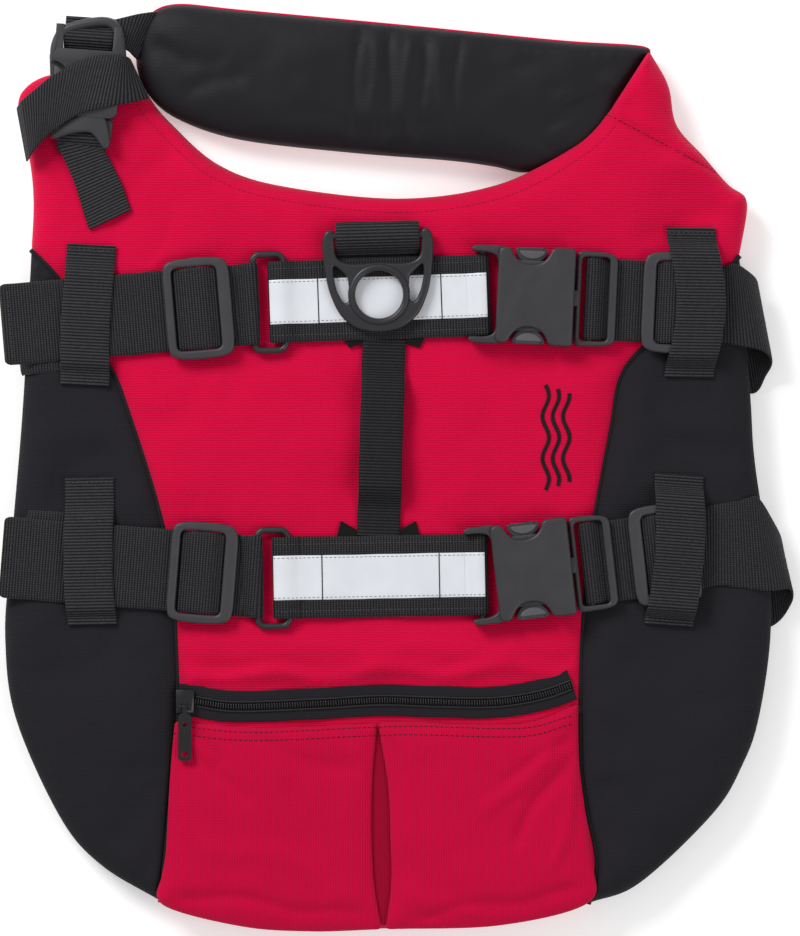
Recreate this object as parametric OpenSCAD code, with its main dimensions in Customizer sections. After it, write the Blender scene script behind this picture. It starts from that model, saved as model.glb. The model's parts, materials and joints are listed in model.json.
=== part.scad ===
// Buoyancy vest for a dog: foam saddle, chest float, two belly belts, grab handle and pocket.
// The vest lies on its belly side. +Z is up, +Y points to the collar, +X to the buckle side.

/* [Foam panels] */
// Thickness of a foam panel with its cloth
panel_t = 18; // [14:1:22]
// Height of the panels' underside over the ground, which leaves room for the belly belts
panel_z = 4; // [3.8:0.1:6]
// Thickness of the cloth shells
cloth_t = 1.2; // [0.8:0.1:2]
// Thickness of the chest float
float_t = 20; // [14:1:21]
// Width of the piping bead along the side seams
bead_w = 2.6; // [2:0.1:4]

/* [Webbing] */
// Width of the belt webbing
belt_w = 38; // [36:0.5:39]
// Width of the neck webbing and of the keepers
neck_w = 25; // [23:0.5:26]
// Thickness of all webbing
web_t = 1.3; // [1.1:0.1:1.3]
// Width of the reflective tape
tape_w = 20; // [15:1:30]
// Width of the grab handle
handle_w = 22; // [18:1:26]
// Finger room under the grab handle
handle_gap = 7.5; // [6:0.5:12]

/* [Hardware] */
// Outer size across the belt buckles and web sliders
buckle_w = 51; // [50:0.5:54]
// Thickness of the belt buckles
buckle_t = 11; // [10:0.5:12]
// Length of a web slider along the belt
slider_l = 34; // [30:1:36]
// Thickness of a web slider
slider_t = 3.2; // [3:0.1:3.4]
// Radius of the leash hole in the D-ring
leash_hole_r = 12; // [10:0.5:12.5]
// Thickness of the D-ring plate
ring_plate_t = 4.4; // [4:0.2:5]

/* [Zipper] */
// Length of the straight run of the zipper
zip_run = 165; // [120:5:165]
// Width of the zipper tape
zip_tape_w = 15; // [13:1:17]
// Length of the zipper pull
pull_l = 29; // [20:1:32]

/* [Hidden] */

$fn = 48;

// Heights of the layers that lie on the panels
panel_top = panel_z + panel_t;
ply1 = panel_top + 0.3;
ply2 = ply1 + web_t + 0.3;
top_of_plies = ply2 + web_t;
bar_r = 1.6;
fold_in = bar_r + 0.15;
fold_out = fold_in + web_t;
bar_z = ply1 + fold_out;
slider_z = top_of_plies + 0.3;
buckle_z = ply1 + 0.3;
// The belly belts: the fixed run lies on the ground, the moving end slides over it
belly_gap = 0.4;
moving_z = web_t + belly_gap;

// One entry for the front belt and one for the rear belt
FRONT = 0;
REAR = 1;
ring_at = [[-67, 84], [-65, -56]];
join_at = [[48, 88], [47, -54]];
left_tilt = [4.8, -4.5];
right_tilt = [-2.6, 6.5];
left_reach = [136, 138];
right_reach = [144, 152];
left_keeper_x = [-93, -93.5];
right_keeper_x = [100, 92];
keeper_l = [73, 75];
plug_slider_x = [92, 88];

// Buckle sizes: width, socket length, plug frame length, thickness, webbing width
belt_buckle = [buckle_w, 39, 22, buckle_t, belt_w];
neck_buckle = [34, 34, 20, 9, neck_w];
neck_at = [-158.4, 212];
neck_tilt = -94;

// Edges of the panels, round numbers in order along each edge
left_shoulder = [
    [-188, 111], [-187, 136], [-189, 157], [-195, 184], [-190, 195], [-177, 201], [-155, 203], [-138, 208]
];
neckline = [
    [-138, 208], [-127, 188], [-116, 175], [-93, 155], [-61, 144], [0, 137.5], [51, 145], [89, 165], [107, 182]
];
right_shoulder = [
    [127, 213], [137, 195], [141, 175], [155, 159], [168, 144], [176, 139], [177, 130], [173, 108]
];
right_seam = [
    [173, 108], [164, 98], [138, 74], [114, 50], [107, 19], [98, -31], [94, -67], [92, -98],
    [92, -148], [95, -173], [100, -201], [96, -222]
];
bottom_edge = [[96, -222], [51, -231], [-10, -235], [-81, -231], [-122, -221]];
left_seam = [
    [-122, -221], [-116, -158], [-113, -118], [-116, -57], [-124, -16], [-140, 34], [-148, 52],
    [-172, 94], [-188, 111]
];
right_edge = [
    [173, 108], [175, 90], [179, 34], [181, 4], [188, -47], [189, -87], [183, -128],
    [175, -151], [160, -176], [122, -212], [96, -222]
];
left_edge = [
    [-122, -221], [-152, -203], [-173, -179], [-196, -128], [-201.5, -87], [-199, -47], [-193, 24],
    [-190, 75], [-188, 111]
];
// The chest float, from its fold at the right shoulder round its top edge and back
fold_a = [107, 182];
fold_b = [127, 213];
fold_l = norm(fold_b - fold_a);
float_edge = [
    [124, 215.5], [81, 218.5], [0, 226.5], [-81, 234], [-113, 237], [-126, 232.5], [-131, 222],
    [-131, 206], [-125.5, 192], [-111, 179], [-81, 168], [-25, 161.5], [25, 157.5], [61, 156.5],
    [82, 163.5], [104, 184]
];
pocket_edge = [
    [-121, -207], [-119, -194], [-117, -158], [-114.5, -128.5], [-74, -132], [0, -129], [60, -130],
    [90.5, -120], [91, -148], [94, -173], [98, -201], [96, -221], [51, -232.5], [-10, -237],
    [-81, -233], [-121, -222]
];

// Smooth curve through the points, with the ends included
function curve(p, steps = 4) = concat(
    [for (i = [0:len(p) - 2], k = [0:steps - 1]) through(p, i, k / steps)],
    [p[len(p) - 1]]
);
function through(p, i, t) = let (
    a = p[max(i - 1, 0)], b = p[i], c = p[i + 1], d = p[min(i + 2, len(p) - 1)]
) 0.5 * (2 * b + (c - a) * t + (2 * a - 5 * b + 4 * c - d) * t * t + (3 * b - a - 3 * c + d) * t * t * t);
function reversed(p) = [for (i = [len(p) - 1:-1:0]) p[i]];
function without_last(p) = [for (i = [0:len(p) - 2]) p[i]];
back_outline = concat(
    without_last(curve(left_shoulder)), without_last(curve(neckline)), [[107, 182]],
    without_last(curve(right_shoulder)), without_last(curve(right_seam)),
    without_last(curve(bottom_edge)), without_last(curve(left_seam))
);
left_outline = concat(without_last(curve(reversed(left_seam))), without_last(curve(left_edge)));
right_outline = concat(without_last(curve(right_edge)), without_last(curve(reversed(right_seam))));
float_outline = curve(float_edge);
whole_outline = concat(
    without_last(curve(left_shoulder)), without_last(curve(neckline)), [[107, 182]],
    without_last(curve(right_shoulder)), without_last(curve(right_edge)),
    without_last(curve(bottom_edge)), without_last(curve(left_edge))
);

// Frames of the belts
module on_center(b) {
    d = join_at[b] - ring_at[b];
    translate([ring_at[b][0], ring_at[b][1], 0]) rotate(atan2(d[1], d[0])) children();
}
module on_left(b) translate([ring_at[b][0], ring_at[b][1], 0]) rotate(left_tilt[b]) children();
module on_right(b) translate([join_at[b][0], join_at[b][1], 0]) rotate(right_tilt[b]) children();
module on_neck() translate([neck_at[0], neck_at[1], 0]) rotate(neck_tilt) children();
module on_fold() {
    d = fold_b - fold_a;
    translate([fold_a[0], fold_a[1], 0]) rotate(atan2(d[1], d[0])) children();
}
function center_l(b) = norm(join_at[b] - ring_at[b]);

// Basic shapes
module slab(x0, x1, w, z0, t) translate([x0, -w / 2, z0]) cube([x1 - x0, w, t]);
module block(x0, x1, y0, y1, z0, z1) translate([x0, y0, z0]) cube([x1 - x0, y1 - y0, z1 - z0]);
module side_profile(points, w) rotate([90, 0, 0]) translate([0, 0, -w / 2]) linear_extrude(w) polygon(points);
module cross_bar(x, z, r, l) translate([x, -l / 2, z]) rotate([-90, 0, 0]) cylinder(r = r, h = l);
module rounded_plate(l, w, r, z0, t) translate([0, 0, z0]) linear_extrude(t) {
    square([l - 2 * r, w], center = true);
    square([l, w - 2 * r], center = true);
    for (x = [-1, 1], y = [-1, 1]) translate([x * (l / 2 - r), y * (w / 2 - r)]) circle(r = r);
}

// Webbing folded back round a bar at x = 0, with both plies running to -x
module folded_end(w) {
    intersection() {
        difference() {
            cross_bar(0, bar_z, fold_out, w);
            cross_bar(0, bar_z, fold_in, w + 2);
        }
        block(0, fold_out + 1, -w, w, 0, bar_z + 10);
    }
    slab(-9, 0, w, ply1, web_t);
    side_profile([
        [0, bar_z + fold_in], [0, bar_z + fold_out], [-1.5, bar_z + fold_out], [-7, top_of_plies],
        [-9, top_of_plies], [-9, ply2], [-7.5, ply2], [-2, bar_z + fold_in]
    ], w);
}

// --- foam panels ---
module shell_of(outline) difference() {
    translate([0, 0, panel_z + cloth_t]) linear_extrude(panel_t - cloth_t) polygon(outline);
    translate([0, 0, panel_z]) linear_extrude(panel_t - cloth_t) offset(delta = -cloth_t) polygon(outline);
}
module foam_of(outline) translate([0, 0, panel_z + cloth_t + 0.2])
    linear_extrude(panel_t - 2 * cloth_t - 0.4) offset(delta = -cloth_t - 1.5) polygon(outline);
module back_shell() color("crimson") shell_of(back_outline);
module left_side_shell() color("#26252a") shell_of(left_outline);
module right_side_shell() color("#26252a") shell_of(right_outline);
module vest_lining() color("#2b2a2f") translate([0, 0, panel_z]) linear_extrude(cloth_t) polygon(whole_outline);
module back_foam() color("lightgrey") foam_of(back_outline);
module left_foam() color("lightgrey") foam_of(left_outline);
module right_foam() color("lightgrey") foam_of(right_outline);
module bead(seam) {
    line = curve(seam);
    closed = concat(line, reversed([for (i = [0:len(line) - 1]) line[i] + [bead_w, 0]]));
    translate([-bead_w / 2, 0, panel_top]) linear_extrude(0.3) polygon(closed);
}
module seam_piping() color("black") {
    bead(left_seam);
    bead(right_seam);
}

// --- chest float ---
module collar_shell() color("crimson") {
    difference() {
        linear_extrude(float_t - cloth_t) polygon(float_outline);
        translate([0, 0, cloth_t]) linear_extrude(float_t) offset(delta = -cloth_t) polygon(float_outline);
    }
    // Rolled seam along the fold, on the axis that the float swings about
    on_fold() {
        translate([2, 0, panel_top + 1.6]) rotate([0, 90, 0]) cylinder(r = 1.3, h = fold_l - 4);
        block(4, fold_l - 4, 0.7, 5, 0, panel_top + 1.4);
    }
}
module collar_lining() color("#2b2a2f")
    translate([0, 0, float_t - cloth_t]) linear_extrude(cloth_t) difference() {
        polygon(float_outline);
        on_fold() translate([0, -1]) square([fold_l, 6]);
    }
module collar_foam() color("lightgrey") translate([0, 0, cloth_t + 0.2])
    linear_extrude(float_t - 2 * cloth_t - 0.4) offset(delta = -cloth_t - 3) polygon(float_outline);
module collar_link() color("#1d1d20") on_neck() {
    translate([-7, 0, 0]) folded_end(neck_w);
    translate([0, 0, ply1]) linear_extrude(web_t)
        polygon([[-16, -12.5], [-15, 12.5], [-21, 30], [-26, 45], [-14, 50], [-2, 33], [-9, 20], [-14.2, 12.5], [-14, -12.5]]);
    slab(-16, -9.5, neck_w, ply1, top_of_plies - ply1);
}

// --- neck closure ---
module neck_keeper() color("#1d1d20") translate([-162.5, 184, 0]) rotate(25) {
    top = buckle_z + neck_buckle[3] + 0.5;
    side_profile([
        [-34, ply1], [-29, ply1], [-25, top], [29, top], [31, ply1], [33.5, ply1],
        [33.5, ply1 + web_t], [32.1, ply1 + web_t], [30, top + web_t], [-26, top + web_t],
        [-30, ply1 + web_t], [-34, ply1 + web_t]
    ], neck_w);
}
module neck_webbing() color("#1d1d20") on_neck() {
    bar = neck_buckle[1] + 8.5;
    translate([bar, 0, 0]) mirror([1, 0, 0]) folded_end(neck_w);
    slab(bar + 8, bar + 14, neck_w, ply1, top_of_plies - ply1);
    // Loose tail with a doubled hem
    translate([bar + 12, 0, ply1]) rotate(28) {
        translate([-4, -neck_w / 2, 0]) cube([46, neck_w, web_t]);
        translate([34, -neck_w / 2, web_t]) cube([8, neck_w, web_t]);
    }
}
module neck_buckle_socket() color("#38373b") on_neck() {
    socket_body(neck_buckle);
    socket_arms(neck_buckle);
}
module neck_buckle_plug() color("#38373b") on_neck() plug(neck_buckle);
module neck_prong_left() color("#4a494d") on_neck() prong(neck_buckle, 1);
module neck_prong_right() color("#4a494d") on_neck() prong(neck_buckle, -1);

// --- buckles, drawn with the socket's back at x = 0 and the plug to +x ---
module socket_body(s) {
    l = s[1];
    wall = 1.7;
    difference() {
        translate([l / 2, 0, 0]) rounded_plate(l, s[0], 4, buckle_z, s[3]);
        block(3, l + 1, -s[0] / 2 + 3.5, s[0] / 2 - 3.5, buckle_z + wall, buckle_z + s[3] - wall);
        for (side = [-1, 1]) translate([l * 0.42, side * s[0] / 2, buckle_z - 1])
            cylinder(r = l * 0.228, h = s[3] + 2);
    }
}
module socket_arms(s) {
    half = s[0] / 2;
    for (side = [0, 1]) mirror([0, side, 0]) block(-12.5, 2, half - 4.3, half - 0.3, buckle_z + 1.2, buckle_z + 6.4);
    cross_bar(-7, bar_z, bar_r, s[0] - 4);
}
module plug(s) {
    l = s[1];
    half = s[0] / 2;
    low = buckle_z + 1.2;
    high = buckle_z + s[3] * 0.6;
    // Cross piece, rails, end bar and the bar that the webbing turns round
    block(l + 0.4, l + 3.2, -half, half, low, high);
    for (side = [0, 1]) mirror([0, side, 0]) block(l + 0.4, l + s[2], half - 4, half, low, high);
    block(l + s[2] - 4, l + s[2], -half, half, slider_z, high);
    cross_bar(l + 8.5, bar_z, bar_r, s[0] - 4);
    // Guide tongue between the prongs
    block(9, l + 1, -4, 4, buckle_z + 3, buckle_z + s[3] - 3.2);
}
module prong(s, side) {
    l = s[1];
    inner = s[0] / 2 - 3.5;
    mirror([0, side < 0 ? 1 : 0, 0]) {
        translate([l - 2.6, inner - 5.6, buckle_z + 2.1]) cylinder(r = 2.2, h = s[3] - 4.2);
        block(8, l - 2.6, inner - 7.2, inner - 4, buckle_z + 2.1, buckle_z + s[3] - 2.1);
        intersection() {
            translate([l * 0.42, s[0] / 2, buckle_z + 2.1]) cylinder(r = l * 0.228 - 2.4, h = s[3] - 4.2);
            block(0, l, inner - 6, s[0] / 2 - 1, 0, 60);
        }
    }
}

// --- belts ---
module center_webbing(b) color("#1d1d20") on_center(b) {
    left_bar = 8.5;
    right_bar = center_l(b) - 5.2;
    translate([left_bar, 0, 0]) mirror([1, 0, 0]) folded_end(belt_w);
    translate([right_bar, 0, 0]) folded_end(belt_w);
    slab(left_bar + 8, right_bar - 8, belt_w, ply1, top_of_plies - ply1);
}
module reflective_tape(b) color("white") on_center(b)
    slab(17.5, center_l(b) - 14, tape_w, top_of_plies, 0.4);
module web_ring(b) color("#2a2a2d") on_center(b) {
    half_l = 8;
    half_w = 24.4;
    corner = 4;
    for (side = [-1, 1]) {
        cross_bar(0.5 + side * half_l, bar_z, bar_r, 2 * (half_w - corner));
        translate([0.5 - half_l + corner, side * half_w, bar_z]) rotate([0, 90, 0])
            cylinder(r = bar_r, h = 2 * (half_l - corner));
    }
    for (a = [0:3]) {
        sx = (a == 0 || a == 3) ? 1 : -1;
        sy = a < 2 ? 1 : -1;
        translate([0.5 + sx * (half_l - corner), sy * (half_w - corner), bar_z]) rotate(a * 90)
            rotate_extrude(angle = 90) translate([corner, 0]) circle(r = bar_r);
    }
}
module left_strap(b) color("#1d1d20") {
    on_center(b) translate([-7.5, 0, 0]) folded_end(belt_w);
    on_left(b) {
        slab(-left_reach[b], -15.5, belt_w, ply1, web_t);
        slab(-104, -15.5, belt_w, ply2, web_t);
    }
}
module belly_belt(b) color("#1d1d20") on_left(b) {
    // Turn round the vest's left edge, then the run under the belly
    slab(-left_reach[b], -left_reach[b] + web_t, belt_w, web_t, ply1 - web_t);
    slab(-left_reach[b], 40, belt_w, 0, web_t);
    rotate((b == FRONT ? -5.5 : 8)) slab(30, 205, belt_w, 0, web_t);
}
module web_slider() {
    // A flat frame with two slots either side of a low bar
    difference() {
        rounded_plate(slider_l, buckle_w, 5, slider_z, slider_t);
        translate([-1.2, 0, 0]) rounded_plate(slider_l - 11, 42, 3, slider_z - 1, slider_t + 2);
    }
    slab(-2.5, 1.5, 44, slider_z, 1.5);
}
module slider_web() {
    // The belt's arch over the slider's middle bar
    low = slider_z + 1.7;
    side_profile([
        [-8.5, slider_z], [-4.6, low], [3.4, low], [7.5, slider_z], [9.3, slider_z],
        [4.2, low + web_t], [-5.2, low + web_t], [-10.3, slider_z]
    ], belt_w);
}
module left_slider(b) color("#38373b") on_left(b) translate([-35.3, 0, 0]) web_slider();
module left_slider_web(b) color("#1d1d20") on_left(b) translate([-35.3, 0, 0]) slider_web();
module keeper(l, inner_w, top) {
    half = l / 2;
    arch = inner_w / 2;
    side_profile([
        [-half, ply1], [-arch, ply1], [-arch, top], [arch, top], [arch, ply1], [half, ply1],
        [half, ply1 + web_t], [arch + web_t, ply1 + web_t], [arch + web_t, top + web_t],
        [-arch - web_t, top + web_t], [-arch - web_t, ply1 + web_t], [-half, ply1 + web_t]
    ], neck_w);
}
module left_keeper(b) color("#1d1d20") on_left(b) translate([left_keeper_x[b], 0, 0])
    rotate(90) keeper(keeper_l[b], 42, top_of_plies + 0.3);
module right_keeper(b) color("#1d1d20") on_right(b) translate([right_keeper_x[b], 0, 0])
    rotate(90) keeper(76, 56, slider_z + slider_t + 1);
module right_strap(b) color("#1d1d20") on_right(b) {
    reach = right_reach[b];
    translate([belt_buckle[1] + 9.8, 0, 0]) mirror([1, 0, 0]) folded_end(belt_w);
    slab(belt_buckle[1] + 18, reach, belt_w, ply1, web_t);
    slab(belt_buckle[1] + 18, reach - 22, belt_w, ply2, web_t);
    // Turn round the vest's right edge, then the end that slides over the belly run
    slab(reach - web_t, reach, belt_w, moving_z, ply1 + web_t - moving_z);
    slab(66, reach, belt_w, moving_z, web_t);
}
module right_slider(b) color("#38373b") on_right(b) translate([plug_slider_x[b], 0, 0]) rotate(180) web_slider();
module right_slider_web(b) color("#1d1d20") on_right(b) translate([plug_slider_x[b], 0, 0]) rotate(180) slider_web();
module buckle_socket(b) color("#38373b") {
    on_right(b) translate([1.3, 0, 0]) socket_body(belt_buckle);
    on_center(b) translate([center_l(b) + 1.8, 0, 0]) socket_arms(belt_buckle);
}
module buckle_plug(b) color("#38373b") on_right(b) translate([1.3, 0, 0]) plug(belt_buckle);
module buckle_prong(b, side) color("#4a494d") on_right(b) translate([1.3, 0, 0]) prong(belt_buckle, side);

// --- D-ring and handle ---
ring_bar = [-11.4, 118];
ring_bar_z = top_of_plies + 3;
ring_bar_r = 2;
module d_ring() color("#303034") translate([ring_bar[0], ring_bar[1], 0]) rotate(1.5) {
    half_edge = [
        [0, -49.5], [12, -47.5], [20.5, -40], [25.5, -28], [28, -13], [28.4, -4], [27, 1.5], [23, 3]
    ];
    edge = curve(half_edge);
    low = ring_bar_z - ring_plate_t / 2;
    difference() {
        translate([0, 0, low]) linear_extrude(ring_plate_t)
            polygon(concat(edge, reversed([for (p = edge) [-p[0], p[1]]])));
        translate([0, 0, low - 1]) linear_extrude(ring_plate_t + 2) square([44.5, 11], center = true);
        translate([0, -30, low - 1]) cylinder(r = leash_hole_r, h = ring_plate_t + 4);
        for (side = [-1, 1]) translate([side * 20, -26, low - 1]) linear_extrude(ring_plate_t + 2) {
            translate([0, 5]) circle(r = 2.6);
            translate([-side * 1, -5]) circle(r = 2.6);
            translate([-side * 0.5, 0]) rotate(side * -5.7) square([5.2, 10], center = true);
        }
    }
    difference() {
        translate([0, -30, low]) cylinder(r = leash_hole_r + 2.2, h = ring_plate_t + 0.8);
        translate([0, -30, low - 1]) cylinder(r = leash_hole_r, h = ring_plate_t + 4);
    }
    rotate([0, 90, 0]) translate([-ring_bar_z, 0, -23.5]) cylinder(r = ring_bar_r, h = 47);
}
module d_ring_loop() color("#1d1d20") translate([ring_bar[0], ring_bar[1], 0]) rotate(91.5) {
    w = 43;
    inner = ring_bar_r + 0.2;
    difference() {
        union() {
            cross_bar(0, ring_bar_z, inner + web_t, w);
            slab(-10, 2, w, ply1, web_t);
            side_profile([[-3, ply1], [2.4, ply1], [3, ring_bar_z], [-3, ring_bar_z]], w);
        }
        cross_bar(0, ring_bar_z, inner, w + 2);
    }
}
handle_top = [-8, 65.5];
handle_bottom = [-11, -34.8];
module handle() color("#1d1d20") {
    run = handle_top - handle_bottom;
    l = norm(run);
    rise = panel_top + handle_gap;
    t = 2.2;
    translate([handle_bottom[0], handle_bottom[1], 0]) rotate(atan2(run[1], run[0]))
        side_profile([
            [0, ply1], [14, ply1], [27, rise], [l - 27, rise], [l - 14, ply1], [l, ply1],
            [l, ply1 + t], [l - 13, ply1 + t], [l - 26, rise + t], [26, rise + t], [13, ply1 + t], [0, ply1 + t]
        ], handle_w);
    // Folded corner tabs at both ends
    for (side = [-1, 1]) {
        translate([handle_bottom[0] + side * 11, handle_bottom[1], ply1]) linear_extrude(1.6)
            polygon([[0, 0], [side * 10, 0], [side * 8, 9], [0, 3]]);
        translate([handle_top[0] + side * 11, handle_top[1], ply1]) linear_extrude(1.6)
            polygon([[0, 0], [side * 8, 0], [side * 6, -5], [0, -2]]);
    }
}

// --- pocket and zipper ---
zip_y = -118.5;
zip_x0 = -104;
teeth_z = panel_top + 0.3 + 0.8;
pocket_top = panel_top + 3.9;
module pocket_front() color("crimson") difference() {
    translate([0, 0, panel_top + 0.4]) linear_extrude(pocket_top - panel_top - 0.4)
        polygon(curve(pocket_edge));
    // Inverted pleat down the middle
    translate([0, 0, panel_top + 2]) linear_extrude(4)
        polygon([[-10.5, -134], [-14, -185], [-12, -226], [-8, -226], [-4.5, -185], [-9.5, -134]]);
}
module zip_strip(w, z0, t) {
    far_x = zip_x0 + zip_run;
    translate([0, 0, z0]) linear_extrude(t) polygon([
        [zip_x0, zip_y - w / 2], [zip_x0, zip_y + w / 2], [far_x - 1, zip_y + w / 2],
        [far_x + 29.4, zip_y + 11.5 + w / 2], [far_x + 29.4, zip_y + 11.5 - w / 2], [far_x, zip_y - w / 2]
    ]);
}
module zipper_tape() color("#1d1d20") {
    zip_strip(zip_tape_w, panel_top + 0.3, 0.8);
    translate([zip_x0 - 9.5, zip_y - zip_tape_w / 2, panel_top + 0.3]) cube([9.5, zip_tape_w, 0.8]);
}
module zipper_teeth() color("black") zip_strip(5, teeth_z, 1.8);
slider_x = -109.2;
pull_y = zip_y - 2.6;
pull_z = teeth_z + 4.6;
module zipper_slider() color("#2a2a2d") translate([slider_x, 0, 0]) {
    half = 4.6;
    // Roof over the teeth and a flange on each side
    block(-half, half, zip_y - 5.8, zip_y + 5.8, teeth_z + 2.1, teeth_z + 3.2);
    for (side = [-1, 1]) translate([0, zip_y + side * 4.4, 0])
        block(-half, half, -1.4, 1.4, teeth_z + 0.3, teeth_z + 3.2);
    // Ears and pin that hold the pull
    for (side = [-1, 1]) translate([side * 2.2, pull_y, 0]) difference() {
        union() {
            rotate([0, 90, 0]) translate([-pull_z, 0, -0.5]) cylinder(r = 1.4, h = 1);
            block(-0.5, 0.5, -1.4, 1.4, teeth_z + 3, pull_z);
        }
    }
    translate([-2.2, pull_y, pull_z]) rotate([0, 90, 0]) cylinder(r = 0.6, h = 4.4);
}
module zipper_pull() color("#2a2a2d") translate([slider_x, pull_y, pull_z]) {
    t = 1.5;
    difference() {
        union() {
            rotate([0, 90, 0]) translate([0, 0, -1.3]) cylinder(r = 1.2, h = 2.6);
            translate([-1.3, -4, -t / 2]) cube([2.6, 4, t]);
            translate([0, -3.5 - (pull_l - 5) / 2, 0]) rotate(90) rounded_plate(pull_l - 5, 6.6, 2, -t / 2, t);
        }
        rotate([0, 90, 0]) translate([0, 0, -3]) cylinder(r = 0.7, h = 6);
        translate([0, -pull_l + 5, -2]) cylinder(r = 1.6, h = 4);
        translate([0, -9, -2]) cylinder(r = 1.1, h = 4);
    }
}

back_shell();
left_side_shell();
right_side_shell();
vest_lining();
back_foam();
left_foam();
right_foam();
seam_piping();
collar_shell();
collar_lining();
collar_foam();
collar_link();
neck_keeper();
neck_webbing();
neck_buckle_socket();
neck_buckle_plug();
neck_prong_left();
neck_prong_right();
center_webbing(FRONT);  // front_center_webbing
reflective_tape(FRONT);  // front_reflective_tape
web_ring(FRONT);  // front_ring
left_strap(FRONT);  // front_left_strap
left_slider(FRONT);  // front_left_slider
left_slider_web(FRONT);  // front_left_slider_web
left_keeper(FRONT);  // front_left_keeper
belly_belt(FRONT);  // front_belly_belt
buckle_socket(FRONT);  // front_buckle_socket
buckle_plug(FRONT);  // front_buckle_plug
buckle_prong(FRONT, 1);  // front_prong_upper
buckle_prong(FRONT, -1);  // front_prong_lower
right_strap(FRONT);  // front_right_strap
right_slider(FRONT);  // front_right_slider
right_slider_web(FRONT);  // front_right_slider_web
right_keeper(FRONT);  // front_right_keeper
center_webbing(REAR);  // rear_center_webbing
reflective_tape(REAR);  // rear_reflective_tape
web_ring(REAR);  // rear_ring
left_strap(REAR);  // rear_left_strap
left_slider(REAR);  // rear_left_slider
left_slider_web(REAR);  // rear_left_slider_web
left_keeper(REAR);  // rear_left_keeper
belly_belt(REAR);  // rear_belly_belt
buckle_socket(REAR);  // rear_buckle_socket
buckle_plug(REAR);  // rear_buckle_plug
buckle_prong(REAR, 1);  // rear_prong_upper
buckle_prong(REAR, -1);  // rear_prong_lower
right_strap(REAR);  // rear_right_strap
right_slider(REAR);  // rear_right_slider
right_slider_web(REAR);  // rear_right_slider_web
right_keeper(REAR);  // rear_right_keeper
d_ring();
d_ring_loop();
handle();
pocket_front();
zipper_tape();
zipper_teeth();
zipper_slider();
zipper_pull();
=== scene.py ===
"""Visual model of a dog's buoyancy vest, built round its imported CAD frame."""

import json
import logging
import math
from dataclasses import dataclass, field
from enum import Enum
from typing import Optional, Sequence

import bmesh
import bpy
import numpy as np
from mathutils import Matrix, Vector, geometry, noise
from mathutils.bvhtree import BVHTree

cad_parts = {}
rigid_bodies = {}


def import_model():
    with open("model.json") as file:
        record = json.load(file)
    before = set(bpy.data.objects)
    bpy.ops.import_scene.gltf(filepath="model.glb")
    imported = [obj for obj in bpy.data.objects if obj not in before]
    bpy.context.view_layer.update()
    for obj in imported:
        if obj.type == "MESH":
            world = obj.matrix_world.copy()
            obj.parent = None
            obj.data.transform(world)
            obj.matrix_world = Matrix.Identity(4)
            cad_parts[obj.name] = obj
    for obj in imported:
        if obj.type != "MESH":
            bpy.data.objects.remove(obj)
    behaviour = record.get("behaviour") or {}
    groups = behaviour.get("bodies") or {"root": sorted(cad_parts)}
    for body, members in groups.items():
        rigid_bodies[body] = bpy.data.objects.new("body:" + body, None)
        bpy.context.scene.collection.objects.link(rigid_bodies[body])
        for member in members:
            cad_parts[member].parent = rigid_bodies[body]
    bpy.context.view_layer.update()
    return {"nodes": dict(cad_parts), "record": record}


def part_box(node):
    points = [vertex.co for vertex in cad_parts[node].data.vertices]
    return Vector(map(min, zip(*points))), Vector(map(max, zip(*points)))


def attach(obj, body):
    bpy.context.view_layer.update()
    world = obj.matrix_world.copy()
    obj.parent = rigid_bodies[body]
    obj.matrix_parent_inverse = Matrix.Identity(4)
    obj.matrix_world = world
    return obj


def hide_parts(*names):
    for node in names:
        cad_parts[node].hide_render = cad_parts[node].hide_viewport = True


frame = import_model()

MM = 0.001
log = logging.getLogger("vest")

# Levels shared by all webbing: the panels' top, the first ply and the second ply
PANEL_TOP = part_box("back_shell")[1].z
PANEL_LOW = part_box("vest_lining")[0].z
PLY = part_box("front_left_strap")[0].z
WEB_T = 1.3 * MM
PLY_TWO = PLY + WEB_T + 0.3 * MM
BELT_W = 41.4 * MM
NECK_W = 25 * MM

Point = tuple[float, float, float]


class Row(Enum):
    """The two belts that go round the dog."""

    FRONT = "front"
    REAR = "rear"


# --- finishes -----------------------------------------------------------------


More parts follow.
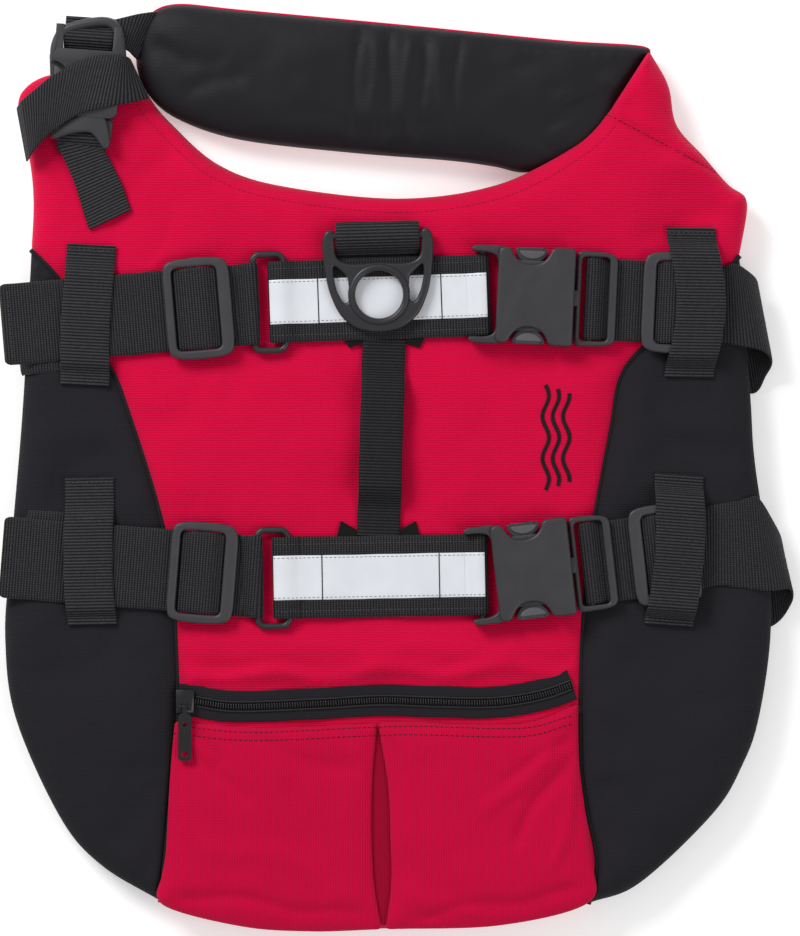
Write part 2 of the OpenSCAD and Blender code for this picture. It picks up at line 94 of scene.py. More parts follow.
class Nodes:
    """Short calls to lay out a material's nodes."""

    def __init__(self, name: str) -> None:
        """Start a material with one Principled shader.

        Args:
            name: The material's name.
        """
        self.material = bpy.data.materials.new(name)
        self.material.use_nodes = True
        self.tree = self.material.node_tree
        self.shader = self.tree.nodes["Principled BSDF"]

    def add(self, kind: str, **values: object) -> bpy.types.Node:
        """Add a node, set its properties by name and link or set its inputs by number.

        Args:
            kind: The node's type without the ShaderNode prefix.
            values: Properties, or inputs written as i0, i1 and so on.

        Returns:
            The new node.
        """
        node = self.tree.nodes.new("ShaderNode" + kind)
        inputs = {k: v for k, v in values.items() if k[0] == "i" and k[1:].isdigit()}
        for key, value in values.items():
            if key not in inputs:
                setattr(node, key, value)
        for key, value in inputs.items():
            self.feed(node.inputs[int(key[1:])], value)
        return node

    def feed(self, socket: bpy.types.NodeSocket, value: object) -> None:
        """Link a socket to another socket or give it a constant.

        Args:
            socket: The input to fill.
            value: An output socket or a plain value.
        """
        if isinstance(value, bpy.types.NodeSocket):
            self.tree.links.new(value, socket)
        else:
            socket.default_value = value

    def math(self, what: str, a: object, b: object = 0.0) -> bpy.types.NodeSocket:
        """Return the result of one math node."""
        return self.add("Math", operation=what, i0=a, i1=b).outputs[0]

    def blend(self, share: object, a: Sequence[float], b: Sequence[float]) -> bpy.types.NodeSocket:
        """Return a colour between a and b.

        Args:
            share: How much of b shows, from 0 to 1.
            a: The first colour.
            b: The second colour.

        Returns:
            The colour socket.
        """
        mix = self.add("Mix", data_type="RGBA", i0=share)
        mix.inputs[6].default_value = (*a, 1)
        mix.inputs[7].default_value = (*b, 1)
        return mix.outputs[2]

    def noise(self, vector: object, scale: float, detail: float = 3) -> bpy.types.NodeSocket:
        """Return a noise factor at a scale in cycles per metre.

        Args:
            vector: The coordinates.
            scale: Cycles per metre.
            detail: Octaves.

        Returns:
            The factor socket.
        """
        node = self.add("TexNoise", i2=scale, i3=detail)
        self.tree.links.new(vector, node.inputs["Vector"])
        return node.outputs[0]

    def bands(self, vector: object, direction: str, pitch: float, wobble: float) -> bpy.types.NodeSocket:
        """Return bands of a given pitch in metres along X or Y.

        Args:
            vector: The coordinates.
            direction: X or Y.
            pitch: Length of one band.
            wobble: How far the bands stray.

        Returns:
            The factor socket.
        """
        scale = 2 * math.pi / 20 / pitch
        node = self.add("TexWave", bands_direction=direction, i1=scale, i2=wobble, i3=2.0, i4=1.5)
        self.tree.links.new(vector, node.inputs["Vector"])
        return node.outputs[1]

    def bump(self, height: object, distance: float, strength: float, under: object = None) -> bpy.types.NodeSocket:
        """Return a bumped normal, on top of another where one is given.

        Args:
            height: The height socket.
            distance: Height of a full bump in metres.
            strength: Share of the bump that shows.
            under: The normal below it, if any.

        Returns:
            The normal socket.
        """
        node = self.add("Bump")
        node.inputs["Strength"].default_value = strength
        node.inputs["Distance"].default_value = distance
        self.tree.links.new(height, node.inputs["Height"])
        if under is not None:
            self.tree.links.new(under, node.inputs["Normal"])
        return node.outputs[0]

    def set(self, **values: object) -> None:
        """Fill the shader's sockets, with spaces written as underscores."""
        for key, value in values.items():
            self.feed(self.shader.inputs[key.replace("_", " ")], value)


@dataclass(frozen=True)
class ClothFinish:
    """Woven cloth with fine ribs along X and a thread crossing them."""

    name: str
    color: tuple[float, float, float]
    shade: tuple[float, float, float]
    rib: float = 1.25 * MM
    rib_share: float = 0.6
    depth: float = 0.3 * MM
    roughness: float = 0.9
    sheen: float = 0.06
    crumple: float = 0.5 * MM
    upright: bool = False
    gloss: float = 0.08

    def make(self) -> bpy.types.Material:
        """Build the material on object coordinates.

        Returns:
            The finished material.
        """
        n = Nodes(self.name)
        at = n.add("TexCoord").outputs["Object"]
        ribs = n.bands(at, "X" if self.upright else "Y", self.rib, 0.6)
        threads = n.bands(at, "Y" if self.upright else "X", self.rib * 0.62, 0.8)
        patches = n.noise(at, 14.0, 4)
        speckle = n.noise(at, 900.0, 2)
        weave = n.math("ADD", n.math("MULTIPLY", ribs, 0.65), n.math("MULTIPLY", threads, 0.35))
        share = n.math("ADD", n.math("MULTIPLY", weave, self.rib_share), n.math("MULTIPLY", speckle, 0.3))
        share = n.math("ADD", share, n.math("MULTIPLY", patches, 0.35))
        soft = n.bump(n.noise(at, 60.0, 3), self.crumple, 0.35)
        n.set(
            Base_Color=n.blend(share, self.shade, self.color),
            Roughness=self.roughness,
            Normal=n.bump(weave, self.depth, 0.8, soft),
            Sheen_Weight=self.sheen,
            Sheen_Roughness=0.5,
            Specular_IOR_Level=self.gloss,
        )
        return n.material


@dataclass(frozen=True)
class WebbingFinish:
    """Narrow-woven strap, whose weave follows the strap's own length; its light tone on the weave's crests is a
    painted highlight on the ribs.
    """

    name: str
    color: tuple[float, float, float]
    # Tone of the weave's crests: a painted highlight on the ribs
    light: tuple[float, float, float]
    pitch: float = 1.45 * MM
    roughness: float = 0.62
    mesh: float = 0.7

    def make(self) -> bpy.types.Material:
        """Build the material on the strap's UV map, which is in metres.

        Returns:
            The finished material.
        """
        n = Nodes(self.name)
        uv = n.add("TexCoord").outputs["UV"]
        picks = n.bands(uv, "X", self.pitch, 0.15)
        ends = n.bands(uv, "Y", self.pitch * 0.8, 0.3)
        weave = n.math("MULTIPLY", picks, n.math("ADD", n.math("MULTIPLY", ends, self.mesh), 1 - self.mesh))
        fuzz = n.noise(n.add("TexCoord").outputs["Object"], 700.0, 2)
        share = n.math("MULTIPLY", weave, n.math("ADD", fuzz, 0.35))
        # The blend lays the light tone on the weave's crests as a painted highlight; the bump adds the real relief.
        n.set(
            Base_Color=n.blend(share, self.color, self.light),
            Roughness=self.roughness,
            Normal=n.bump(weave, 0.3 * MM, 0.8),
            Sheen_Weight=0.05,
            Sheen_Roughness=0.4,
            Specular_IOR_Level=0.16,
        )
        return n.material


@dataclass(frozen=True)
class PlasticFinish:
    """Moulded plastic with a spark-eroded grain."""

    name: str
    color: tuple[float, float, float]
    roughness: float = 0.42
    grain: float = 0.04 * MM

    def make(self) -> bpy.types.Material:
        """Build the material on object coordinates.

        Returns:
            The finished material.
        """
        n = Nodes(self.name)
        at = n.add("TexCoord").outputs["Object"]
        grain = n.noise(at, 2600.0, 2)
        cloudy = n.noise(at, 120.0, 3)
        dark = tuple(c * 0.8 for c in self.color)
        n.set(
            Base_Color=n.blend(cloudy, dark, self.color),
            Roughness=n.math("ADD", n.math("MULTIPLY", cloudy, 0.16), self.roughness - 0.08),
            Normal=n.bump(grain, self.grain, 0.5),
            Specular_IOR_Level=0.32,
        )
        return n.material


@dataclass(frozen=True)
class TapeFinish:
    """Reflective tape: a pale film of glass beads with a fine noise bump."""

    name: str = "reflective_film"

    def make(self) -> bpy.types.Material:
        """Build the material on the tape's UV map.

        Returns:
            The finished material.
        """
        n = Nodes(self.name)
        uv = n.add("TexCoord").outputs["UV"]
        beads = n.noise(uv, 3000.0, 1)
        cloudy = n.noise(uv, 60.0, 3)
        n.set(
            Base_Color=n.blend(cloudy, (0.6, 0.62, 0.66), (0.72, 0.74, 0.78)),
            Roughness=0.38,
            Normal=n.bump(beads, 0.03 * MM, 0.4),
            Coat_Weight=0.25,
            Coat_Roughness=0.3,
        )
        return n.material


NARROW_PITCH = 1.6 * MM
RED = (0.66, 0.0015, 0.05)
RED_SHADE = (0.44, 0.0008, 0.03)
RED_CLOTH = ClothFinish("red_pack_cloth", RED, RED_SHADE)
RED_POCKET = ClothFinish("red_pocket_cloth", (0.575, 0.001, 0.046), (0.39, 0.0006, 0.028), upright=True)
# The pleat's cloth is the pocket's red darkened: painted shade for the hollow of the pleat.
RED_PLEAT_PAINTED_SHADE = ClothFinish("red_pleat_painted_shade_cloth", (0.33, 0.0008, 0.024), (0.24, 0.0006, 0.017), upright=True)
BLACK_CLOTH = ClothFinish("black_pack_cloth", (0.019, 0.0175, 0.0215), (0.011, 0.0105, 0.0125), sheen=0.02,
    depth=0.2 * MM)
LINING_CLOTH = ClothFinish(
    "black_lining_cloth", (0.0125, 0.012, 0.0155), (0.008, 0.0077, 0.0098),
    rib=0.7 * MM, rib_share=0.3, depth=0.06 * MM, roughness=0.55, sheen=0.01, crumple=1.2 * MM, gloss=0.16,
)
# The second colour of each webbing is its painted rib highlight.
BELT_WEB = WebbingFinish("belt_webbing", (0.0035, 0.0035, 0.0042), (0.05, 0.049, 0.056))
NARROW_WEB = WebbingFinish("narrow_webbing", (0.0022, 0.0022, 0.0027), (0.046, 0.045, 0.052), pitch=NARROW_PITCH,
    mesh=0.18)
GRIP_WEB = WebbingFinish("grip_webbing", (0.002, 0.002, 0.0025), (0.026, 0.0255, 0.03), pitch=NARROW_PITCH, mesh=0.3)
PLASTIC = PlasticFinish("buckle_plastic", (0.038, 0.037, 0.042))
SLIDER_PLASTIC = PlasticFinish("slider_plastic", (0.044, 0.043, 0.049))
PRONG_PLASTIC = PlasticFinish("prong_plastic", (0.09, 0.088, 0.098), roughness=0.5)
RING_PLASTIC = PlasticFinish("ring_plastic", (0.026, 0.025, 0.029), roughness=0.36)
METAL = PlasticFinish("painted_zipper_metal", (0.014, 0.014, 0.016), roughness=0.25, grain=0.02 * MM)
COIL = PlasticFinish("zipper_coil", (0.02, 0.02, 0.022), roughness=0.22)
BLACK_THREAD = PlasticFinish("black_thread", (0.004, 0.004, 0.005), roughness=0.7)
DARK_THREAD = PlasticFinish("charcoal_thread", (0.07, 0.07, 0.078), roughness=0.7)
GREY_THREAD = PlasticFinish("grey_thread", (0.2, 0.2, 0.22), roughness=0.7)
RED_THREAD = PlasticFinish("red_thread", (0.3, 0.001, 0.02), roughness=0.7)
TAPE = TapeFinish()

_made: dict[str, bpy.types.Material] = {}


def dress(piece: bpy.types.Object, finish: object) -> bpy.types.Object:
    """Give a piece its only material, made once for each finish.

    Args:
        piece: The object to dress.
        finish: A finish with a name and a make method.

    Returns:
        The same piece.
    """
    if finish.name not in _made:
        _made[finish.name] = finish.make()
    piece.data.materials.clear()
    piece.data.materials.append(_made[finish.name])
    return piece


# --- mesh tools ---------------------------------------------------------------


def mesh_object(
    name: str, verts: Sequence[Sequence[float]], faces: Sequence[Sequence[int]], uv: Optional[np.ndarray] = None
) -> bpy.types.Object:
    """Make a smooth mesh object at the origin.

    Args:
        name: The piece's name.
        verts: Points in metres.
        faces: Indices into verts, outward by the right-hand rule.
        uv: One UV pair for each point, where the piece has a UV map.

    Returns:
        The linked object.
    """
    mesh = bpy.data.meshes.new(name)
    mesh.from_pydata([tuple(map(float, v)) for v in verts], [], [tuple(map(int, f)) for f in faces])
    mesh.update()
    mesh.polygons.foreach_set("use_smooth", [True] * len(mesh.polygons))
    if uv is not None:
        index = np.zeros(len(mesh.loops), int)
        mesh.loops.foreach_get("vertex_index", index)
        mesh.uv_layers.new(name="UVMap").data.foreach_set("uv", np.asarray(uv, float)[index].ravel())
    piece = bpy.data.objects.new(name, mesh)
    bpy.context.collection.objects.link(piece)
    return piece


def outward(piece: bpy.types.Object) -> bpy.types.Object:
    """Turn a closed mesh's faces outward.

    Args:
        piece: The mesh object.

    Returns:
        The same piece.
    """
    work = bmesh.new()
    work.from_mesh(piece.data)
    bmesh.ops.recalc_face_normals(work, faces=work.faces)
    work.to_mesh(piece.data)
    work.free()
    return piece


def settle(piece: bpy.types.Object) -> bpy.types.Object:
    """Apply all modifiers of a piece to a plain mesh.

    Args:
        piece: The object with live modifiers.

    Returns:
        The same object, with a new mesh and no modifiers.
    """
    bpy.context.view_layer.update()
    graph = bpy.context.evaluated_depsgraph_get()
    mesh = bpy.data.meshes.new_from_object(piece.evaluated_get(graph))
    piece.modifiers.clear()
    piece.data = mesh
    return piece


def smooth_path(points: Sequence[Sequence[float]], step: float) -> np.ndarray:
    """Sample a smooth curve through points at even steps.

    Args:
        points: Rows of numbers, the first three of which are a place.
        step: Distance between samples in metres.

    Returns:
        The sampled rows.
    """
    p = np.asarray(points, float)
    ext = np.vstack([2 * p[0] - p[1], p, 2 * p[-1] - p[-2]])
    rows = []
    for i in range(len(p) - 1):
        a, b, c, d = ext[i : i + 4]
        for t in np.linspace(0, 1, 25)[:-1]:
            rows.append(
                0.5 * (2 * b + (c - a) * t + (2 * a - 5 * b + 4 * c - d) * t**2 + (3 * b - a - 3 * c + d) * t**3)
            )
    rows = np.array(rows + [p[-1]])
    run = np.concatenate([[0], np.cumsum(np.linalg.norm(np.diff(rows[:, :3], axis=0), axis=1))])
    count = max(2, int(round(run[-1] / step)) + 1)
    return np.stack([np.interp(np.linspace(0, run[-1], count), run, rows[:, k]) for k in range(rows.shape[1])], 1)


@dataclass(frozen=True)
class Place:
    """A flat frame on the vest: a point and a turn about +Z, in metres and degrees."""

    x: float
    y: float
    turn: float

    def at(self, u: float, v: float, z: float) -> Point:
        """Return the point at u along and v across, at height z."""
        c, s = math.cos(math.radians(self.turn)), math.sin(math.radians(self.turn))
        return (self.x + u * c - v * s, self.y + u * s + v * c, z)


@dataclass
class Strap:
    """A length of webbing along a path of (u, v, z, turn) rows in millimetres and degrees."""

    name: str
    place: Place
    rows: Sequence[Sequence[float]]
    width: float = BELT_W
    thick: float = WEB_T
    pitch: float = 1.45 * MM
    ribs: float = 0.1 * MM
    skewed: bool = False
    round_start: float = 0.0
    round_end: float = 0.0

    def build(self) -> bpy.types.Object:
        """Sweep a thin rounded section with crosswise ribs along the path.

        Returns:
            The strap, with a UV map in metres along and across it.
        """
        points = []
        for u, v, z, *more in self.rows:
            x, y, z = self.place.at(u * MM, v * MM, z * MM)
            turn, half = (*more, 0.0, self.width / 2 / MM)[:2] if len(more) != 1 else (more[0], self.width / 2 / MM)
            points.append((x, y, z, self.place.turn + turn, half * MM))
        path = smooth_path(points, self.pitch / 4)
        centre = path[:, :3]
        heading = np.gradient(centre, axis=0)
        heading /= np.linalg.norm(heading, axis=1)[:, None]
        side = np.stack([-np.sin(np.radians(path[:, 3])), np.cos(np.radians(path[:, 3])), np.zeros(len(path))], 1)
        if not self.skewed:
            side -= heading * (side * heading).sum(1)[:, None]
            side /= np.linalg.norm(side, axis=1)[:, None]
        up = np.cross(heading, side)
        up /= np.linalg.norm(up, axis=1)[:, None]
        run = np.concatenate([[0], np.cumsum(np.linalg.norm(np.diff(centre, axis=0), axis=1))])
        rib = self.ribs * (1 - np.abs(np.sin(np.pi * run / self.pitch)) ** 0.7)
        profile = np.array([-1, -0.985, -0.93, -0.7, -0.35, 0, 0.35, 0.7, 0.93, 0.985, 1])
        crown = np.array([0.0, 0.62, 0.97, 1, 0.98, 0.97, 0.98, 1, 0.97, 0.62, 0.0])
        half = path[:, 4].copy()
        for radius, gone in ((self.round_start, run), (self.round_end, run[-1] - run)):
            if radius:
                t = np.clip(1 - gone / (radius * MM), 0, 1)
                half -= radius * MM * (1 - np.sqrt(1 - t * t))
        sway = np.array([noise.noise((r / 0.018, 0.0, len(self.name) * 1.7)) for r in run]) * 0.25 * MM
        verts, uv = [], []
        for i in range(len(path)):
            tall = self.thick / 2 - rib[i]
            for sign in (1, -1):
                order = range(11) if sign == 1 else range(9, 0, -1)
                for k in order:
                    lift = up[i] * (sign * tall * crown[k])
                    verts.append(centre[i] + side[i] * (profile[k] * half[i] + sway[i]) + lift)
                    uv.append((run[i], profile[k] * half[i]))
        ring = 20
        faces = []
        for i in range(len(path) - 1):
            for k in range(ring):
                a, b = i * ring + k, i * ring + (k + 1) % ring
                faces.append((a, b, b + ring, a + ring))
        last = (len(path) - 1) * ring
        faces.append(tuple(range(ring))[::-1])
        faces.append(tuple(last + k for k in range(ring)))
        return outward(mesh_object(self.name, verts, faces, np.array(uv)))


def moulded(node: str, name: str, bevel: float, finish: object) -> bpy.types.Object:
    """Copy a CAD node, round its edges and let the copy stand for it.

    Args:
        node: The CAD node's name.
        name: The new piece's name.
        bevel: Radius of the rounded edges in metres.
        finish: The finish of the piece.

    Returns:
        The dressed piece, which replaces the node on the node's body.
    """
    source = frame["nodes"][node]
    work = bmesh.new()
    work.from_mesh(source.data)
    bmesh.ops.remove_doubles(work, verts=work.verts, dist=2e-6)
    bmesh.ops.dissolve_limit(work, angle_limit=math.radians(1.0), verts=work.verts, edges=work.edges)
    mesh = bpy.data.meshes.new(name)
    work.to_mesh(mesh)
    work.free()
    piece = bpy.data.objects.new(name, mesh)
    bpy.context.collection.objects.link(piece)
    cut = piece.modifiers.new("round", "BEVEL")
    cut.width = bevel
    cut.segments = 3
    cut.limit_method = "ANGLE"
    cut.angle_limit = math.radians(40)
    cut.use_clamp_overlap = True
    cut.harden_normals = False
    settle(piece)
    piece.data.polygons.foreach_set("use_smooth", [True] * len(piece.data.polygons))
    piece.data.set_sharp_from_angle(angle=math.radians(35))
    dress(piece, finish)
    return stand_for(piece, BODY_OF[node], node)


def round_ring(points: Sequence[tuple[float, float]], radius: float, steps: int = 5) -> list[tuple[float, float]]:
    """Round the corners of a closed ring.

    Args:
        points: Corners in millimetres.
        radius: How far from each corner the rounding starts.
        steps: Segments for each corner.

    Returns:
        The rounded ring.
    """
    ring = []
    for i, here in enumerate(points):
        before, after = Vector(points[i - 1]), Vector(points[(i + 1) % len(points)])
        here = Vector(here)
        a = here + (before - here).normalized() * min(radius, (before - here).length / 2)
        b = here + (after - here).normalized() * min(radius, (after - here).length / 2)
        for k in range(steps + 1):
            t = k / steps
            ring.append(tuple(a * (1 - t) ** 2 + here * 2 * t * (1 - t) + b * t * t))
    return ring


def shape(
    name: str, place: Place, outer: Sequence[tuple[float, float]], holes: Sequence[Sequence[tuple[float, float]]],
    low: float, high: float, bevel: float,
) -> bpy.types.Object:
    """Make a moulded plate from rings, with rounded rims, all in millimetres.

    Args:
        name: The piece's name.
        place: The frame that the rings are drawn in.
        outer: The outline.
        holes: Openings through the plate.
        low: Height of its underside.
        high: Height of its upper side.
        bevel: Radius of its rims.

    Returns:
        The closed plate in its place.
    """
    curve = bpy.data.curves.new(name, "CURVE")
    curve.dimensions, curve.fill_mode = "2D", "BOTH"
    curve.extrude, curve.bevel_depth, curve.bevel_resolution = ((high - low) / 2 - bevel) * MM, bevel * MM, 2
    curve.offset = -bevel * MM
    for index, ring in enumerate([outer, *holes]):
        area = sum(a[0] * b[1] - b[0] * a[1] for a, b in zip(ring, list(ring[1:]) + [ring[0]]))
        ring = list(ring) if (area < 0) == (index == 0) else list(ring)[::-1]
        spline = curve.splines.new("POLY")
        spline.points.add(len(ring) - 1)
        spline.points.foreach_set("co", [c for x, y in ring for c in (x * MM, y * MM, 0, 1)])
        spline.use_cyclic_u = True
    holder = bpy.data.objects.new(name, curve)
    bpy.context.collection.objects.link(holder)
    bpy.context.view_layer.update()
    mesh = bpy.data.meshes.new_from_object(holder.evaluated_get(bpy.context.evaluated_depsgraph_get()))
    bpy.data.objects.remove(holder)
    bpy.data.curves.remove(curve)
    work = bmesh.new()
    work.from_mesh(mesh)
    bmesh.ops.remove_doubles(work, verts=work.verts, dist=1e-6)
    for vert in work.verts:
        vert.co = place.at(vert.co.x, vert.co.y, vert.co.z + (low + high) / 2 * MM)
    bmesh.ops.recalc_face_normals(work, faces=work.faces)
    work.to_mesh(mesh)
    work.free()
    piece = bpy.data.objects.new(name, mesh)
    bpy.context.collection.objects.link(piece)
    mesh.polygons.foreach_set("use_smooth", [True] * len(mesh.polygons))
    mesh.set_sharp_from_angle(angle=math.radians(42))
    return piece


def fuse(name: str, *pieces: bpy.types.Object) -> bpy.types.Object:
    """Gather several meshes into one object and drop the originals.

    Args:
        name: The new object's name.
        *pieces: The meshes, which are removed.

    Returns:
        The joined object, not yet dressed.
    """
    work = bmesh.new()
    for piece in pieces:
        work.from_mesh(piece.data)
        bpy.data.objects.remove(piece)
    mesh = bpy.data.meshes.new(name)
    work.to_mesh(mesh)
    work.free()
    result = bpy.data.objects.new(name, mesh)
    bpy.context.collection.objects.link(result)
    mesh.polygons.foreach_set("use_smooth", [True] * len(mesh.polygons))
    mesh.set_sharp_from_angle(angle=math.radians(42))
    return result


def hollow(piece: bpy.types.Object, place: Place, x0: float, x1: float, half: float, low: float,
        high: float) -> bpy.types.Object:
    """Cut a box-shaped cavity, in millimetres of a place's frame, out of a piece.

    Args:
        piece: The piece that is hollowed.
        place: The frame that the box is drawn in.
        x0: The box's start along the frame.
        x1: The box's end along the frame.
        half: Half the box's width.
        low: Height of its underside.
        high: Height of its upper side.

    Returns:
        The same piece.
    """
    corners = [place.at(x * MM, y * MM, z * MM) for z in (low, high) for x,
        y in ((x0, -half), (x1, -half), (x1, half), (x0, half))]
    faces = [(0, 3, 2, 1), (4, 5, 6, 7), (0, 1, 5, 4), (1, 2, 6, 5), (2, 3, 7, 6), (3, 0, 4, 7)]
    cutter = outward(mesh_object("cutter", corners, faces))
    cut = piece.modifiers.new("cavity", "BOOLEAN")
    cut.operation, cut.solver, cut.object = "DIFFERENCE", "EXACT", cutter
    settle(piece)
    bpy.data.objects.remove(cutter)
    piece.data.set_sharp_from_angle(angle=math.radians(42))
    return piece


BODY_OF = {n: body for body, names in frame["record"]["behaviour"]["bodies"].items() for n in names}


def stand_for(piece: bpy.types.Object, body: str, *nodes: str, slot: str = "") -> bpy.types.Object:
    """Put a piece on a body and let it stand for CAD nodes.

    Args:
        piece: The finished piece.
        body: The CAD body that it rides on.
        nodes: The CAD nodes that it replaces, if any.
        slot: The material slot, where no node is replaced; not used.

    Returns:
        The same piece.
    """
    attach(piece, body)
    if nodes:
        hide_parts(*nodes)
    log.info("%s on %s", piece.name, body)
    return piece


# --- repeats by Geometry Nodes ------------------------------------------------


@dataclass(frozen=True)
class Repeat:
    """A small rounded body repeated along paths, such as a stitch or a zipper tooth."""

    spacing: float
    length: float
    width: float
    height: float
    across: bool = False

    def tree(self, material: bpy.types.Material) -> bpy.types.NodeTree:
        """Build the node group with named inputs for its sizes.

        Args:
            material: The finish that every copy gets.

        Returns:
            The node group.
        """
        group = bpy.data.node_groups.new("repeat_along_path", "GeometryNodeTree")
        face = group.interface
        face.new_socket("Geometry", in_out="INPUT", socket_type="NodeSocketGeometry")
        for label in ("Spacing", "Length", "Width", "Height"):
            face.new_socket(label, in_out="INPUT", socket_type="NodeSocketFloat")
        face.new_socket("Geometry", in_out="OUTPUT", socket_type="NodeSocketGeometry")

        def node(kind: str, **values: object) -> bpy.types.Node:
            """Add one geometry node and set its properties.

            Args:
                kind: The node's type.
                **settings: Properties of the node.

            Returns:
                The node.
            """
            made = group.nodes.new(kind)
            for key, value in values.items():
                setattr(made, key, value)
            return made

        link = group.links.new
        source, sink = node("NodeGroupInput"), node("NodeGroupOutput")
        curve = node("GeometryNodeMeshToCurve")
        points = node("GeometryNodeResampleCurve", mode="LENGTH")
        body = node("GeometryNodeMeshUVSphere")
        body.inputs["Segments"].default_value = 8
        body.inputs["Rings"].default_value = 5
        body.inputs["Radius"].default_value = 0.5
        tangent = node("GeometryNodeInputTangent")
        align = node("FunctionNodeAlignEulerToVector", axis="Y" if self.across else "X", pivot_axis="Z")
        size = node("ShaderNodeCombineXYZ")
        place = node("GeometryNodeInstanceOnPoints")
        real = node("GeometryNodeRealizeInstances")
        paint = node("GeometryNodeSetMaterial")
        paint.inputs["Material"].default_value = material
        link(source.outputs["Geometry"], curve.inputs[0])
        link(curve.outputs[0], points.inputs["Curve"])
        link(source.outputs["Spacing"], points.inputs["Length"])
        link(points.outputs[0], place.inputs["Points"])
        link(body.outputs["Mesh"], place.inputs["Instance"])
        link(tangent.outputs[0], align.inputs["Vector"])
        link(align.outputs[0], place.inputs["Rotation"])
        link(source.outputs["Length"], size.inputs[0])
        link(source.outputs["Width"], size.inputs[1])
        link(source.outputs["Height"], size.inputs[2])
        link(size.outputs[0], place.inputs["Scale"])
        link(place.outputs[0], real.inputs[0])
        link(real.outputs[0], paint.inputs[0])
        link(paint.outputs[0], sink.inputs[0])
        return group

    def along(self, name: str, paths: Sequence[np.ndarray], finish: object) -> bpy.types.Object:
        """Repeat the body along paths.

        Args:
            name: The piece's name.
            paths: Arrays of points in metres.
            finish: The finish of the repeated bodies.

        Returns:
            A plain mesh object with all the bodies in it.
        """
        verts, edges = [], []
        for path in paths:
            start = len(verts)
            verts.extend(tuple(map(float, p[:3])) for p in path)
            edges.extend((start + i, start + i + 1) for i in range(len(path) - 1))
        mesh = bpy.data.meshes.new(name)
        mesh.from_pydata(verts, edges, [])
        piece = bpy.data.objects.new(name, mesh)
        bpy.context.collection.objects.link(piece)
        dress(piece, finish)
        group = self.tree(piece.data.materials[0])
        live = piece.modifiers.new("repeat", "NODES")
        live.node_group = group
        keys = {s.name: s.identifier for s in group.interface.items_tree if s.in_out == "INPUT"}
        sizes = {"Spacing": self.spacing, "Length": self.length, "Width": self.width, "Height": self.height}
        for label, value in sizes.items():
            live[keys[label]] = value
        settle(piece)
        piece.data.polygons.foreach_set("use_smooth", [True] * len(piece.data.polygons))
        return piece


STITCH = Repeat(2.6 * MM, 2.0 * MM, 0.5 * MM, 0.42 * MM)
FINE_STITCH = Repeat(2.2 * MM, 1.6 * MM, 0.36 * MM, 0.3 * MM)


def flat_path(place: Place, points: Sequence[Sequence[float]], z: float) -> np.ndarray:
    """Return a straight-edged path of (u, v) millimetres in a place at height z metres."""
    return np.array([place.at(u * MM, v * MM, z) for u, v in points])


# --- padded panels ------------------------------------------------------------


@dataclass(frozen=True)
class Crease:
    """A soft fold in cloth between two points, in millimetres; a negative depth is a ridge."""

    x0: float
    y0: float
    x1: float
    y1: float
    width: float
    depth: float

    def drop(self, x: np.ndarray, y: np.ndarray) -> np.ndarray:
        """Return how far the crease lowers points given in millimetres.

        Args:
            x: The points' x.
            y: The points' y.

        Returns:
            A drop in millimetres for each point.
        """
        run = np.array([self.x1 - self.x0, self.y1 - self.y0])
        length = np.linalg.norm(run)
        ux, uy = run / length
        along = (x - self.x0) * ux + (y - self.y0) * uy
        off = (x - self.x0) * -uy + (y - self.y0) * ux
        off = off + self.width * 0.5 * np.sin(along / 9.0 + self.x0)
        ends = np.clip(np.minimum(along, length - along) / (0.25 * length) + 0.5, 0, 1)
        return self.depth * np.exp(-((off / self.width) ** 2)) * ends * ends * (3 - 2 * ends)


@dataclass(frozen=True)
class Press:
    """A strip that holds the cloth down: a line with a half width, in millimetres."""

    x0: float
    y0: float
    x1: float
    y1: float
    half: float

    def away(self, x: np.ndarray, y: np.ndarray) -> np.ndarray:
        """Return the distance in millimetres from the strip's edge, 0 inside it.

        Args:
            x: The points' x.
            y: The points' y.

        Returns:
            A distance for each point.
        """
        dx, dy = self.x1 - self.x0, self.y1 - self.y0
        t = np.clip(((x - self.x0) * dx + (y - self.y0) * dy) / (dx * dx + dy * dy), 0, 1)
        return np.maximum(np.hypot(x - self.x0 - t * dx, y - self.y0 - t * dy) - self.half, 0)


@dataclass(frozen=True)
class Edge:
    """One run of a pad's outline with the heights, in millimetres, where top and bottom meet it."""

    points: Sequence[tuple[float, float]]
    top: float
    bottom: float
    reach: float = 15.0
    inset: float = 0.0


